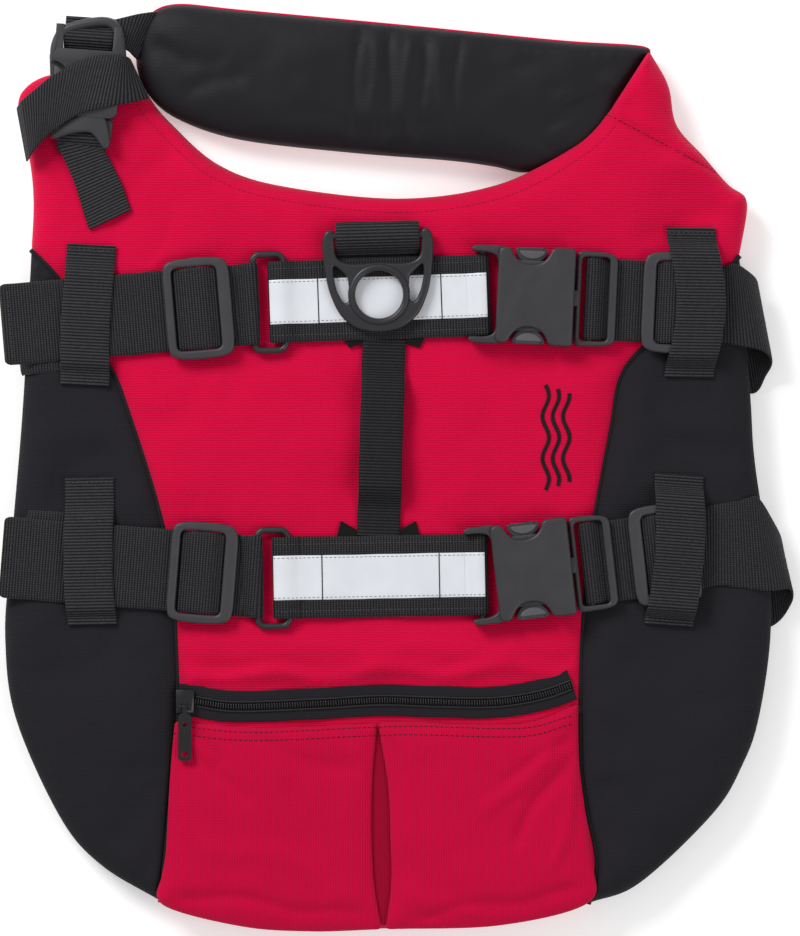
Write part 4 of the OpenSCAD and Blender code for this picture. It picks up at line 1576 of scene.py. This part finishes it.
@dataclass
class Belt:
    """One belt: middle webbing with tape, ring, left and right straps, sliders, keepers and buckle."""

    row: Row
    left_slider: float = -35.3
    slider_hump: float = 27.85
    tape_w: float = 22.6

    def name(self, part: str) -> str:
        """Return a part's name with the belt's own name first."""
        return f"{self.row.value}_{part}"

    def strap(self, part: str, place: Place, rows: Sequence[Sequence[float]], body: str, finish: object = BELT_WEB,
            **more: object) -> None:
        """Sweep, dress and place one length of webbing."""
        piece = Strap(self.name(part) + "_cloth", place, rows, **more).build()
        stand_for(dress(piece, finish), body, self.name(part))

    def build(self) -> None:
        """Build the belt from left to right."""
        self.middle()
        self.left()
        self.right()
        self.buckle()

    def middle(self) -> None:
        """Build the middle webbing, its tape and stitches, and the ring."""
        place, long = on_center(self.row), center_length(self.row)
        rise = BAR_Z + FOLD
        wide = [(18, 0, TOP_PLY_MID), (14, 0, TOP_PLY_MID + 0.5), (8, 0, rise - 0.3), (3.5, 0, rise - 0.5),
            (1.2, 0, rise - 1.6), (0.9, 0, BAR_Z - 0.6), (2.4, 0, PLY_MID + 0.4), (6, 0, PLY_MID), (16, 0, PLY_MID)]
        rows = turn_back(long - 5.2, 1)[::-1] + wide
        self.strap("center_webbing", place, rows, "vest")
        top = (PLY_TWO + WEB_T) / MM + 0.2
        film = [(0.9, 0, rise - 0.6), (3.5, 0, rise + 0.45), (8, 0, rise + 0.6), (14, 0, top + 0.7),
            (18, 0, top + 0.1), (24, 0, top), (long / 2, 0, top), (long - 18, 0, top),
            (long - 13.6, 0, top + 0.3), (long - 8.2, 0, rise + 0.5), (long - 5.2, 0, rise + 0.85),
            (long - 3.9, 0, rise + 0.6)]
        self.strap("reflective_tape", place, film, "vest", TAPE, width=self.tape_w * MM, thick=0.4 * MM, ribs=0.0)
        film_top = surface(bpy.data.objects[self.name("reflective_tape_cloth")])
        web_top = surface(bpy.data.objects[self.name("center_webbing_cloth")])
        edge = self.tape_w / 2 - 1.2
        light = [drape(smooth_path(flat_path(place, [(1.6, s * edge), (long - 4.6, s * edge)], 0), MM), [film_top],
            0.05) for s in (-1, 1)]
        stand_for(FINE_STITCH.along(self.name("tape_stitches"), light, GREY_THREAD), "vest", slot="reflective_tape")
        dark = [flat_path(place, [(u, -self.tape_w / 2), (u, self.tape_w / 2)], (top + 0.25) * MM) for u in (25.5,
            long - 27)]
        lines = tube(self.name("cross_lines"), [smooth_path(d, 2 * MM) for d in dark], 0.28 * MM, 6)
        stand_for(dress(lines, BLACK_THREAD), "vest", slot="webbing")
        hems = [drape(smooth_path(flat_path(place, [(2.5, s * 17), (long - 6, s * 17)], 0), 2 * MM), [web_top],
            0.02) for s in (-1, 1)]
        stand_for(FINE_STITCH.along(self.name("middle_stitches"), hems, DARK_THREAD), "vest", slot="webbing")
        moulded(self.name("ring"), self.name("ring_loop"), 0.3 * MM, RING_PLASTIC)

    def left(self) -> None:
        """Build the left strap with its belly run, slider and keeper."""
        place, reach = on_left(self.row), LEFT_REACH[self.row]
        ring = on_center(self.row).turn - place.turn
        inner = [(u, v, z, ring) for u, v, z in turn_back(-7.5, 1)]
        rows = [(-104, 0, TOP_PLY_MID), (-60, 0, TOP_PLY_MID)] + inner + [(-60, 0, PLY_MID), (-reach + 8, 0, PLY_MID),
            (-reach + 0.8, 0, PLY_MID - 1.4)]
        self.strap("left_strap", place, rows, "vest", round_end=4.5)
        bend = -5.5 if self.row is Row.FRONT else 8.0
        low = -5.5 if self.row is Row.FRONT else 4.4
        under = [(-reach + 36, low, PLY_MID - 0.9), (-reach + 24, low, PLY_MID - 1.0),
            (-reach + 14, low, PLY_MID - 2.2), (-reach + 9.4, low, PLY_MID - 6), (-reach + 8, low, 14),
            (-reach + 7.4, low / 2, 6), (-reach + 9, 0, 1.8),
            (-reach + 14, 0, 0.7), (-60, 0, 0.7), (20, 0, 0.7),
            (60, 60 * math.sin(math.radians(bend)), 0.7, bend),
            (203, 203 * math.sin(math.radians(bend)), 0.7, bend)]
        self.strap("belly_belt", place, under, "vest", skewed=True)
        hump = self.slider_hump
        arch = [(-11.5, 0, SLIDER_Z + 0.5), (-9.3, 0, SLIDER_Z + 0.9), (-4.5, 0, hump), (3.4, 0, hump),
            (8, 0, SLIDER_Z + 0.9), (10, 0, SLIDER_Z + 0.5)]
        self.strap("left_slider_web", moved(place, self.left_slider), arch, self.name("left_slider"), width=BELT_W)
        self.slider("left_slider", moved(place, self.left_slider))
        self.keeper("left_keeper", LEFT_KEEPER[self.row], place, TOP_PLY_MID + 1.3 + 0.35)
        hem = [flat_path(place, [(-reach + 4.5, -16), (-reach + 4.5, 16)], (PLY_MID + 0.75) * MM)]
        stand_for(FINE_STITCH.along(self.name("left_end_stitches"), hem, DARK_THREAD), "vest", slot="webbing")

    def slider(self, part: str, place: Place) -> None:
        """Mould the flat frame of a slider, thicker at its +u side, with its low middle bar.

        Args:
            part: The slider's name within the belt.
            place: The slider's own frame.
        """
        outer = [(-17, -21), (-14.5, -25), (0, -26), (13.5, -25.2), (17, -21), (17, 21), (13.5, 25.2), (0, 26),
            (-14.5, 25), (-17, 21)]
        inner = [(-12.6, -21.2), (10.4, -21.2), (10.4, 21.2), (-12.6, 21.2)]
        frame_plate = shape("frame", place, round_ring(outer, 7), [round_ring(inner, 3.4)], SLIDER_Z, SLIDER_Z + 3.2,
            1.15)
        bar = smooth_path([place.at(-0.5 * MM, v * MM, (SLIDER_Z + 0.8) * MM) for v in (-22, 0, 22)], 4 * MM)
        piece = fuse(self.name(part + "_frame"), frame_plate, tube("bar", [bar], 0.75 * MM, 10))
        stand_for(dress(piece, SLIDER_PLASTIC), self.name(part), self.name(part))

    def keeper(self, part: str, keeper: Keeper, strap: Place, top: float) -> None:
        """Build a narrow loop across the belt, sewn down at both ends with hems.

        Args:
            part: The loop's name within the belt.
            keeper: Its place, turn and length.
            strap: The frame of the strap below it.
            top: Height of its middle in millimetres.
        """
        place, half, sway = keeper.on(strap), keeper.long / 2, keeper.sway
        rise = top - PLY_MID
        middle = -keeper.v / math.cos(math.radians(keeper.turn))
        arch = keeper.arch + 8 * abs(math.tan(math.radians(keeper.turn)))
        rows = [(middle, -sway * 0.75, top + 0.15)]
        for side in (-1, 1):
            end = half - side * middle
            steep = min((end - arch) / 10, 1.3)
            climb = [(arch / 2, -0.35, 1.01), (arch - 4 * steep, 0.2, 1.0), (arch - 0.8 * steep, 0.48, 0.9),
                (arch + 1.2 * steep, 0.62, 0.62),
                (arch + 3 * steep, 0.75, 0.22), (arch + 5 * steep, 0.85, 0.01), (end - 2, 0.95, 0),
                (end, 1, 0.02)]
            run = [(middle + side * w, sway * v, PLY_MID + rise * z) for w, v, z in climb]
            rows = rows + run if side > 0 else run[::-1] + rows
        self.strap(part, place, rows, "vest", NARROW_WEB, width=NECK_W, pitch=NARROW_PITCH, ribs=0.16 * MM,
            skewed=True)
        hems = [flat_path(place, [(s * (half - 2.6), sway - 10.8), (s * (half - 2.6), sway + 10.8)],
            (PLY_MID + 0.75) * MM) for s in (-1, 1)]
        stand_for(FINE_STITCH.along(self.name(part + "_stitches"), hems, DARK_THREAD), "vest", slot="webbing")

    def right(self) -> None:
        """Build the right strap with its turn under the belly, slider and keeper."""
        place, reach = on_right(self.row), RIGHT_REACH[self.row]
        body = self.name("right_belt")
        flare = edge_rows(FLARE[self.row])
        plies = [(100, 0, PLY_MID), (80, 0, PLY_MID)] + turn_back(48.8, -1)[::-1] + [(80, 0, TOP_PLY_MID),
            (RIGHT_KEEPER[self.row].u - 4, 0, TOP_PLY_MID), (RIGHT_KEEPER[self.row].u + 5, 0, TOP_PLY_MID)]
        under = rows_in(place, [(66, 0, 2.35), (reach - 40, 0, 2.35)], BELT_W / 2 / MM)
        rows = under + flare + rows_in(place, plies, BELT_W / 2 / MM)
        self.strap("right_strap", Place(0, 0, 0), rows, body, skewed=True)
        hump = self.slider_hump
        arch = [(-10, 0, SLIDER_Z + 0.5), (-8, 0, SLIDER_Z + 0.9), (-3.4, 0, hump), (4.5, 0, hump),
            (9.3, 0, SLIDER_Z + 0.9), (11.5, 0, SLIDER_Z + 0.5)]
        self.strap("right_slider_web", moved(place, PLUG_SLIDER[self.row]), arch, self.name("right_slider"),
            width=BELT_W)
        self.slider("right_slider", moved(place, PLUG_SLIDER[self.row], 0, 180))
        self.keeper("right_keeper", RIGHT_KEEPER[self.row], place, SLIDER_Z + 3.2 + 1.2)

    def buckle(self) -> None:
        """Mould the socket with its arms and hollow, the plug, and the two press pads."""
        place = on_right(self.row)
        low, high = PLY / MM + 0.4, 33.5
        upper = [(40.3, 24.9), (30.5, 24.9), (28, 24.2), (26.8, 20.6), (23.8, 17.2), (19.6, 15.8), (15.4, 15.8),
            (11.8, 17.2), (9.0, 20.4), (7.6, 23.4), (5, 24.9), (1.2, 23.6)]
        ring = upper + [(u, -v) for u, v in reversed(upper)]
        body = shape("body", place, round_ring(ring, 2.2), [], low, high, 1.3)
        hollow(body, place, 3, 45, 22.2, low + 1.6, high - 1.6)
        arms = []
        for side in (-1, 1):
            arm = [(-12, 24.2), (-12.6, 22.8), (-11.8, 21.6), (-4, 21.5), (0.4, 20.0), (1.4, 15.5), (4.5, 15.5),
                (5, 23.6), (2, 24.9), (-9, 24.9)]
            arms.append(shape("arm", place, round_ring([(u, side * v) for u, v in arm], 2), [], low + 0.8, low + 8.6,
                0.9))
        long = center_length(self.row)
        bar = smooth_path([on_center(self.row).at((long - 5.2) * MM, v * MM, BAR_Z * MM) for v in (-23.5, 0, 23.5)],
            4 * MM)
        piece = fuse(self.name("socket_shell"), body, *arms, tube("bar", [bar], 1.55 * MM, 12))
        stand_for(dress(piece, PLASTIC), BODY_OF[self.name("buckle_socket")], self.name("buckle_socket"))
        rim_line = [(41.1, -24.4), (57, -23.9), (62, -21.8), (62, 21.8), (57, 23.9), (41.1, 24.4)]
        opening = [(43.6, -21.4), (57.9, -21.3), (57.9, 21.3), (43.6, 21.4)]
        rim_plate = shape("rim", place, round_ring(rim_line, 3.4), [round_ring(opening, 2.4)], low + 0.9, high - 4.9,
            1.1)
        tongue = shape("tongue", place, [(10, -4), (42.5, -4), (42.5, 4), (10, 4)], [], low + 3, high - 3.4, 0.5)
        turned = smooth_path([place.at(48.8 * MM, v * MM, BAR_Z * MM) for v in (-22.4, 0, 22.4)], 4 * MM)
        plug = fuse(self.name("plug_frame"), rim_plate, tongue, tube("bar", [turned], 1.55 * MM, 12))
        stand_for(dress(plug, PLASTIC), BODY_OF[self.name("buckle_plug")], self.name("buckle_plug"))
        for side, label in ((1, "prong_upper"), (-1, "prong_lower")):
            moulded(self.name(label), self.name(label + "_arm"), 0.4 * MM, PLASTIC)
            rim = [(9.4, 24.2), (26.6, 24.2), (25.6, 20.8), (23, 18.1), (19.5, 16.7), (15.6, 16.7), (12.4, 18),
                (10.2, 20.8)]
            pad = [(11.2, 23), (25.2, 23), (24, 20.9), (21.8, 19.5), (19.2, 18.8), (16.2, 18.9), (13.8, 19.8),
                (12.0, 21.2)]
            dark = shape(self.name(label + "_rim"), place, round_ring([(u, side * v) for u, v in rim], 1.6), [],
                low + 2, high - 2.6, 0.5)
            stand_for(dress(dark, PLASTIC), BODY_OF[self.name(label)], slot="prong_plastic")
            light = shape(self.name(label + "_pad"), place, round_ring([(u, side * v) for u, v in pad], 1.6), [],
                high - 3.2, high - 1.6, 0.5)
            stand_for(dress(light, PRONG_PLASTIC), BODY_OF[self.name(label)], slot="prong_plastic")


@dataclass
class NeckClosure:
    """The small buckle at the left shoulder with its keeper, link and tail."""

    place: Place = Place(-158.4 * MM, 212 * MM, -94)

    def strap(self, node: str, place: Place, rows: Sequence[Sequence[float]], body: str) -> None:
        """Sweep, dress and place one length of narrow webbing.

        Args:
            node: The name of the piece.
            place: The frame that the rows are given in.
            rows: Rows of u, v, z and a turn, in millimetres.
            body: The moving body that carries it, if any.
        """
        piece = Strap(node + "_cloth", place, rows, width=NECK_W, pitch=NARROW_PITCH, ribs=0.16 * MM,
            skewed=node == "neck_keeper").build()
        stand_for(dress(piece, NARROW_WEB), body, node)

    def build(self) -> None:
        """Build the link, the tail, the keeper and the buckle."""
        fold = rows_in(self.place, turn_back(-7, 1)[3:] + [(-11, 0, PLY_MID)], NECK_W / 2 / MM)
        ply = [(4, 0, PLY_MID + 1.6), (0, 0, PLY_MID + 1.8), (-6, 0, BAR_Z + FOLD + 0.4), (-10.5, 0, BAR_Z + 1.6),
            (-12.5, 0, BAR_Z - 1)]
        self.strap("collar_link", self.place, ply, "neck_socket")
        link = [(-152, 219.5, 22.6, -4, 7.5), (-146, 220.5, 22.6, -6, 7.5), (-140, 221.5, 21.4, -14, 8.5),
            (-134.5, 221.8, 18.6, -22, 10.5),
            (-129.5, 221, 14, -28, 13), (-124, 218, 9.6, -28, 14.5), (-118, 215, 8.6, -28, 14.5)]
        for label, rows in (("fold", fold), ("tail", link)):
            piece = Strap("collar_link_" + label, Place(0, 0, 0), rows, width=NECK_W, pitch=NARROW_PITCH,
                ribs=0.16 * MM, skewed=label == "tail").build()
            stand_for(dress(piece, NARROW_WEB), "neck_socket", slot="webbing")
        bar = 42.5
        loose = edge_rows([
            (-136.7, 131.1, -158, 120.9, PLY_MID), (-138.9, 137, -160, 127, PLY_MID + 0.1),
            (-141.5, 144.5, -162.4, 134.8, 23.6), (-145.8, 153.2, -165.6, 145, 24.4),
            (-149.6, 160.6, -169.2, 153.6, 25.2), (-152.2, 166, -172.6, 161, 26.0),
            (-153.5, 170.6, -175.0, 168.4, 26.6), (-153.8, 175, -176, 173.4, 26.8),
        ])
        back = rows_in(self.place, [(bar + 1, 0, BAR_Z + FOLD), *turn_back(bar, -1)[::-1][3:],
            (bar + 9, 0, TOP_PLY_MID)], NECK_W / 2 / MM)
        tail = Strap("neck_tail_cloth", Place(0, 0, 0), loose, width=NECK_W, pitch=NARROW_PITCH, ribs=0.16 * MM,
            skewed=True).build()
        stand_for(dress(tail, NARROW_WEB), "vest", "neck_webbing")
        inner = Strap("neck_loop_cloth", Place(0, 0, 0), back, width=NECK_W, pitch=NARROW_PITCH,
            ribs=0.16 * MM).build()
        stand_for(dress(inner, NARROW_WEB), "vest", slot="webbing")
        band = edge_rows([
            (-194.6, 183.2, -189.5, 155.6, PLY_MID), (-193.4, 184.6, -188.6, 156.6, 25.5),
            (-191.6, 186.6, -187.4, 158, 29.4), (-184.9, 192, -183.9, 162.6, 32.2),
            (-174.8, 199.6, -177.8, 168.7, 32.9), (-156, 208.4, -163.6, 178.6, 32.9),
            (-144.7, 209.3, -150.4, 182.4, 32.7), (-139.8, 209, -141, 184.4, 30.6),
            (-137.9, 208.4, -131.4, 186.6, 26), (-137.5, 208, -127.8, 187.5, PLY_MID),
        ])
        self.strap("neck_keeper", Place(0, 0, 0), band, "vest")
        arch = smooth_path([(x * MM, y * MM, z * MM) for x, y, z in (
            (-175.4, 206, 26.5), (-174.6, 215, 26.5), (-170.5, 222, 26.5), (-160, 225.4, 26.5), (-149, 226.4, 26.5),
            (-143.6, 222.6, 26.5), (-141.6, 212, 26.5), (-141.4, 200, 26.5))], 2 * MM)
        stand_for(dress(tube("neck_socket_end", [arch], 2.5 * MM, 12), PLASTIC), "neck_socket", slot="buckle_plastic")
        skirt = shape("neck_socket_skirt", Place(0, 0, 0),
            round_ring([(-178, 211), (-141.5, 208), (-142.5, 198), (-177.5, 197)], 2), [], 23.6, 27.2, 0.8)
        stand_for(dress(skirt, PLASTIC), "neck_socket", slot="buckle_plastic")
        moulded("neck_buckle_socket", "neck_socket_shell", 0.8 * MM, PLASTIC)
        cap = [(-177.6, 167.6), (-173.4, 172.9), (-166, 178), (-155, 181), (-150, 180), (-147.8, 172),
            (-146.6, 163.6), (-149.8, 160.6), (-153.6, 166.8), (-156.8, 170.4), (-166, 169.8), (-175.6, 166.4)]
        plug = shape("cap", Place(0, 0, 0), round_ring(cap, 3), [], 27.2, 31.4, 1.3)
        tongue = [(9, -4), (37, -4), (37, 4), (9, 4)]
        lead = shape("lead", self.place, round_ring(tongue, 1.5), [], 25.6, 28.4, 0.6)
        cross = [(34.6, -15.2), (38.4, -15.2), (38.4, 15.2), (34.6, 15.2)]
        wall = shape("wall", self.place, round_ring(cross, 1), [], 24, 28.6, 0.6)
        bar = smooth_path([self.place.at(42.5 * MM, v * MM, BAR_Z * MM) for v in (-13.6, 0, 13.6)], 4 * MM)
        rails = [shape("rail", self.place, round_ring([(37, s * 15.2), (44, s * 15), (44, s * 12.2), (37, s * 12)],
            1), [], 24, 28.6, 0.7) for s in (-1, 1)]
        plug = fuse("neck_plug_frame", plug, lead, wall, *rails, tube("bar", [bar], 1.5 * MM, 12))
        stand_for(dress(plug, PLASTIC), BODY_OF["neck_buckle_plug"], "neck_buckle_plug")
        moulded("neck_prong_left", "neck_left_pad", 0.4 * MM, PRONG_PLASTIC)
        moulded("neck_prong_right", "neck_right_pad", 0.4 * MM, PRONG_PLASTIC)


@dataclass
class LeashPoint:
    """The D-ring with its webbing loop, and the grab handle."""

    bar: Place = Place(-11.4 * MM, 118 * MM, 91.5)
    bar_z: float = 28.2
    top: tuple[float, float] = (-8.0, 65.5)
    bottom: tuple[float, float] = (-11.0, -34.8)
    rise: float = 30.6

    def ring(self) -> None:
        """Mould the ring: shoulders, webbing slot, two side openings and the leash hole with its raised rim."""
        place = Place(self.bar.x, self.bar.y, 1.5)
        half = [(0, -49.5), (12, -47.5), (20.5, -40), (25.5, -28), (28, -13), (28.4, -4), (27.4, 1.4), (25, 3.6),
            (22.4, 2.4)]
        slot = [(22, -2.6), (22, -9.5), (19.5, -12.8), (14, -14.4), (7, -14.2), (0, -13.4), (-7, -14.2), (-14, -14.4),
            (-19.5, -12.8), (-22, -9.5), (-22, -2.6)]
        outer = half + [(22.1, 1.6), *slot, (-22.1, 1.6)] + [(-x, y) for x, y in reversed(half[1:])]
        side = [(22.8, -14.5), (20.4, -16.4), (15.6, -20.6), (14.9, -31.6), (16.4, -34.2), (18.6, -33.6),
            (21.4, -27.6), (22.9, -20.5)]
        hole = [(12.1 * math.cos(t), -30 + 12.1 * math.sin(t)) for t in np.linspace(0, 2 * math.pi, 49)[:-1]]
        openings = [hole, round_ring(side, 2), round_ring([(-x, y) for x, y in side], 2)]
        flat = shape("flat", place, round_ring(outer, 5), openings, 26.2, 30.2, 1.3)
        rim = np.array([place.at(14 * math.cos(t) * MM, (-30 + 14 * math.sin(t)) * MM,
            29.6 * MM) for t in np.linspace(0, 2 * math.pi, 65)])
        bar = smooth_path([place.at(x * MM, 0, self.bar_z * MM) for x in (-24, 0, 24)], 4 * MM)
        piece = fuse("leash_ring", flat, tube("rim", [rim], 1.75 * MM, 12), tube("bar", [bar], 2.0 * MM, 12))
        stand_for(dress(piece, RING_PLASTIC), "d_ring", "d_ring")

    def build(self) -> None:
        """Build the loop, the ring and the handle."""
        z = self.bar_z
        rows = [(-13.5, 0, PLY_MID), (-2, 0, PLY_MID), (4.5, 0, PLY_MID + 0.6), (6.6, 0, z - 2), (5.4, 0, z + 1.6),
            (2.2, 0, z + 3.0), (-2, 0, z + 2.7),
            (-6, 0, z + 0.2), (-8.2, 0, TOP_PLY_MID + 1.2), (-9.6, 0, TOP_PLY_MID)]
        loop = Strap("d_ring_loop_cloth", self.bar, rows, width=42.4 * MM, pitch=NARROW_PITCH, ribs=0.16 * MM).build()
        stand_for(dress(loop, NARROW_WEB), "vest", "d_ring_loop")
        self.ring()
        dx, dy = self.top[0] - self.bottom[0], self.top[1] - self.bottom[1]
        long = math.hypot(dx, dy)
        place = Place(self.bottom[0] * MM, self.bottom[1] * MM, math.degrees(math.atan2(dy, dx)))
        low = PLY / MM + 1.1
        rows = [(0, 0, low), (12, 0, low), (17, 0, low + 1.2), (24, 0, self.rise - 1.2), (30, 0, self.rise),
            (long / 2, 0, self.rise + 0.5),
            (long - 30, 0, self.rise), (long - 24, 0, self.rise - 1.2), (long - 17, 0, low + 1.2),
            (long - 12, 0, low), (long, 0, low)]
        grip = Strap("handle_cloth", place, rows, width=22 * MM, thick=2.2 * MM, pitch=NARROW_PITCH,
            ribs=0.2 * MM).build()
        stand_for(dress(grip, GRIP_WEB), "vest", "handle")
        for label, (x, y), corner in (("low", self.bottom, ((0, 0), (10.5, -1), (8, 8), (0, 3.5))),
            ("high", self.top, ((0, 1.5), (10.5, 2.5), (7, -4.5), (0, -2.5)))):
            for side in (-1, 1):
                points = [(x + side * (11 + a), y + b) for a, b in corner]
                tab = plate(f"handle_tab_{label}_{'left' if side < 0 else 'right'}", points, PLY / MM, PLY / MM + 1.6)
                stand_for(dress(tab, NARROW_WEB), "vest", slot="webbing")


@dataclass
class Pocket:
    """The zipped pocket with its pleat, zipper and stitching, and the embroidered mark above it."""

    low: float = 22.45
    high: float = 25.4

    def build(self) -> None:
        """Build the pocket's cloth, its zipper and its stitches."""
        left_lip = [(-11.6, -129.5), (-12.2, -135.6), (-14.2, -160.5), (-14.4, -190), (-12.9, -213.4), (-9.2, -234.5)]
        right_lip = [(-7.4, -234.5), (-4.4, -210.3), (-5, -184), (-6.1, -160.5), (-10.2, -135.6), (-11.4, -129.5)]
        left_rim = [left_lip[-1], (-45, -235.6), (-81, -233), (-121, -222), (-121, -207), (-119, -194), (-117, -158),
            (-114.5, -128.5)]
        right_rim = [(90.5, -120), (91, -148), (94, -173), (98, -201), (96, -221), (51, -232.5), right_lip[0]]
        wrinkles = [Crease(86, -146, 58, -190, 3.4, 1.3), Crease(78, -142, 44, -176, 3.6, -1.0),
            Crease(88, -138, 52, -158, 3, 0.8), Crease(-112, -216, -20, -227, 3.4, 1.0),
            Crease(90, -160, 78, -204, 3, -0.9),
            Crease(8, -228, 92, -214, 3.4, 1.0), Crease(-112, -140, -78, -170, 4, 0.9),
            Crease(-70, -138, -24, -156, 5, 0.8), Crease(-104, -132, -92, -152, 3, 0.9),
            Crease(-100, -190, -40, -204, 6, -0.7),
            Crease(0, -212, 40, -230, 5, -0.7), Crease(-22, -140, -24, -200, 7, -0.5),
            Crease(4, -140, 8, -200, 7, -0.5)]
        more = dict(creases=wrinkles, puff=0.5, crumple=0.7, cell=3.6, under_reach=3, cap=1.4, top_limit=28.2)
        left = Pad("pocket_left_cloth",
            [Edge([(-114.5, -128.5), (-74, -132), (-40, -131), left_lip[0]], 23.6, 22.5, 5),
            Edge(left_lip, 24.6, 23.4, 3), Edge(left_rim, 22.8, 22.45, 9)],
                   self.low, self.high, _seed=51.0, **more)
        right = Pad("pocket_right_cloth", [Edge([right_lip[-1], (0, -129), (60, -130), (90.5, -120)], 23.6, 22.5, 5),
            Edge(right_rim, 22.8, 22.45, 9), Edge(right_lip, 25.0, 23.6, 3)],
                    self.low, self.high, _seed=57.0, **more)
        inside = Pad("pleat_cloth",
            [Edge(run, 22.8, 22.3, 3) for run in ([(-19, -131), (-2, -131)], [(-2, -131), (0, -232)],
            [(0, -232), (-18, -232)], [(-18, -232), (-19, -131)])],
                     self.low - 0.1, self.low + 0.5, puff=0, crumple=0.1, cell=5, cap=0.3, top_limit=23.2)
        pieces = []
        # The pleat's inner cloth gets a darker red, which is painted shade inside the pleat.
        for pad, finish in ((left, RED_POCKET), (right, RED_POCKET), (inside, RED_PLEAT_PAINTED_SHADE)):
            cloth = dress(pad.build(), finish)
            pieces.append(cloth)
        stand_for(pieces[0], "vest", "pocket_front")
        stand_for(pieces[1], "vest", slot="red_cloth")
        stand_for(pieces[2], "vest", slot="red_cloth")
        tree = [surface(piece) for piece in pieces[:2]]
        lines = [drape(smooth_path([(x * MM, (y - drop) * MM, 0) for x, y in POCKET_TOP[:-1] + [(86, -124)]],
            2.2 * MM), tree, 0.1) for drop in (2.2, 6.4)]
        stand_for(STITCH.along("pocket_stitches", lines, BLACK_THREAD), "vest", slot="webbing")
        centre = [(-113, -117.5), (-105.2, -118.4), (-83, -121.2), (-39.1, -119.6), (-9.7, -118), (19.6, -118.9),
            (48.8, -119), (72.1, -115.3), (87.5, -110)]
        strip = Strap("zipper_tape_cloth", Place(0, 0, 0), [(x, y, PANEL_TOP / MM + 0.75) for x, y in centre],
                      width=16 * MM, thick=0.8 * MM, pitch=1.2 * MM, ribs=0.05 * MM).build()
        stand_for(dress(strip, BLACK_CLOTH), "vest", "zipper_tape")
        path = smooth_path([(x * MM, y * MM, (PANEL_TOP / MM + 2.0) * MM) for x, y in centre[1:]], 2 * MM)
        teeth = Repeat(1.3 * MM, 0.95 * MM, 3.8 * MM, 1.6 * MM).along("zipper_teeth_row", [path], COIL)
        stand_for(teeth, "vest", "zipper_teeth")
        cords = [path + np.array((0, side * 2.4 * MM, -0.5 * MM)) for side in (-1, 1)]
        stand_for(dress(tube("zipper_cords", cords, 0.55 * MM, 8), COIL), "vest", slot="zipper_teeth")
        moulded("zipper_slider", "zipper_slider_body", 0.9 * MM, METAL)
        moulded("zipper_pull", "zipper_pull_tab", 0.35 * MM, METAL)

    def mark(self, back: bpy.types.Object) -> None:
        """Embroider three water waves on the back panel in satin stitch.

        Args:
            back: The panel that carries them.
        """
        tree = [surface(back)]
        waves = []
        for k in range(3):
            rows = [((74 + 5.2 * k + 1.7 * math.sin(t * 2 * math.pi * 2.5)) * MM, (-11 + 53 * t) * MM,
                0) for t in np.linspace(0.04 * k, 1 - 0.04 * k, 60)]
            waves.append(drape(np.array(rows), tree, 0.15))
        satin = Repeat(0.55 * MM, 0.6 * MM, 2.6 * MM, 0.7 * MM).along("wave_embroidery", waves, BLACK_THREAD)
        stand_for(satin, "vest", slot="webbing")


@dataclass
class Studio:
    """A pale floor, soft lights and a camera looking straight down."""

    height: float = 3.0
    wide: float = 0.4064
    key: float = 40.0
    fill: float = 15.0

    def lamp(self, name: str, place: Point, size: float, power: float) -> None:
        """Add one square area light aimed at the vest.

        Args:
            name: The lamp's name.
            place: Where it hangs, in metres.
            size: Its side in metres.
            power: Its power in watts.
        """
        light = bpy.data.lights.new(name, "AREA")
        light.size, light.energy = size, power
        lamp = bpy.data.objects.new(name, light)
        lamp.location = place
        lamp.rotation_euler = Vector(place).to_track_quat("Z", "Y").to_euler()
        bpy.context.collection.objects.link(lamp)

    def build(self) -> None:
        """Build the floor, the world, the lights and the camera."""
        floor = mesh_object("studio_floor", [(-4, -4, -0.0004), (4, -4, -0.0004), (4, 4, -0.0004), (-4, 4, -0.0004)],
            [(0, 1, 2, 3)])
        n = Nodes("pale_floor")
        n.set(Base_Color=(0.9, 0.9, 0.9, 1), Roughness=0.9, Specular_IOR_Level=0.1, Emission_Color=(1, 1, 1, 1),
            Emission_Strength=0.26)
        floor.data.materials.append(n.material)
        world = bpy.data.worlds.new("studio")
        world.use_nodes = True
        world.node_tree.nodes["Background"].inputs[0].default_value = (1, 1, 1, 1)
        world.node_tree.nodes["Background"].inputs[1].default_value = 0.5
        bpy.context.scene.world = world
        self.lamp("key_light", (-1.2, 1.4, 1.35), 0.9, self.key)
        self.lamp("fill_light", (1.4, -0.7, 1.7), 1.4, self.fill)
        bpy.context.scene.view_settings.view_transform = "Standard"
        camera = bpy.data.cameras.new("camera")
        camera.sensor_fit = "HORIZONTAL"
        camera.lens = camera.sensor_width * (self.height - 0.024) / self.wide
        camera.clip_end = 20
        eye = bpy.data.objects.new("camera", camera)
        eye.location = (0, 0, self.height)
        bpy.context.collection.objects.link(eye)
        bpy.context.scene.camera = eye


def main() -> None:
    """Build every sub-assembly."""
    logging.basicConfig(level=logging.INFO, format="%(name)s: %(message)s")
    Studio().build()
    body = Body()
    body.build()
    Collar().build()
    for row in Row:
        Belt(row).build()
    NeckClosure().build()
    LeashPoint().build()
    pocket = Pocket()
    pocket.build()
    pocket.mark(body.back)
    bpy.context.view_layer.update()


if __name__ == "__main__":
    main()
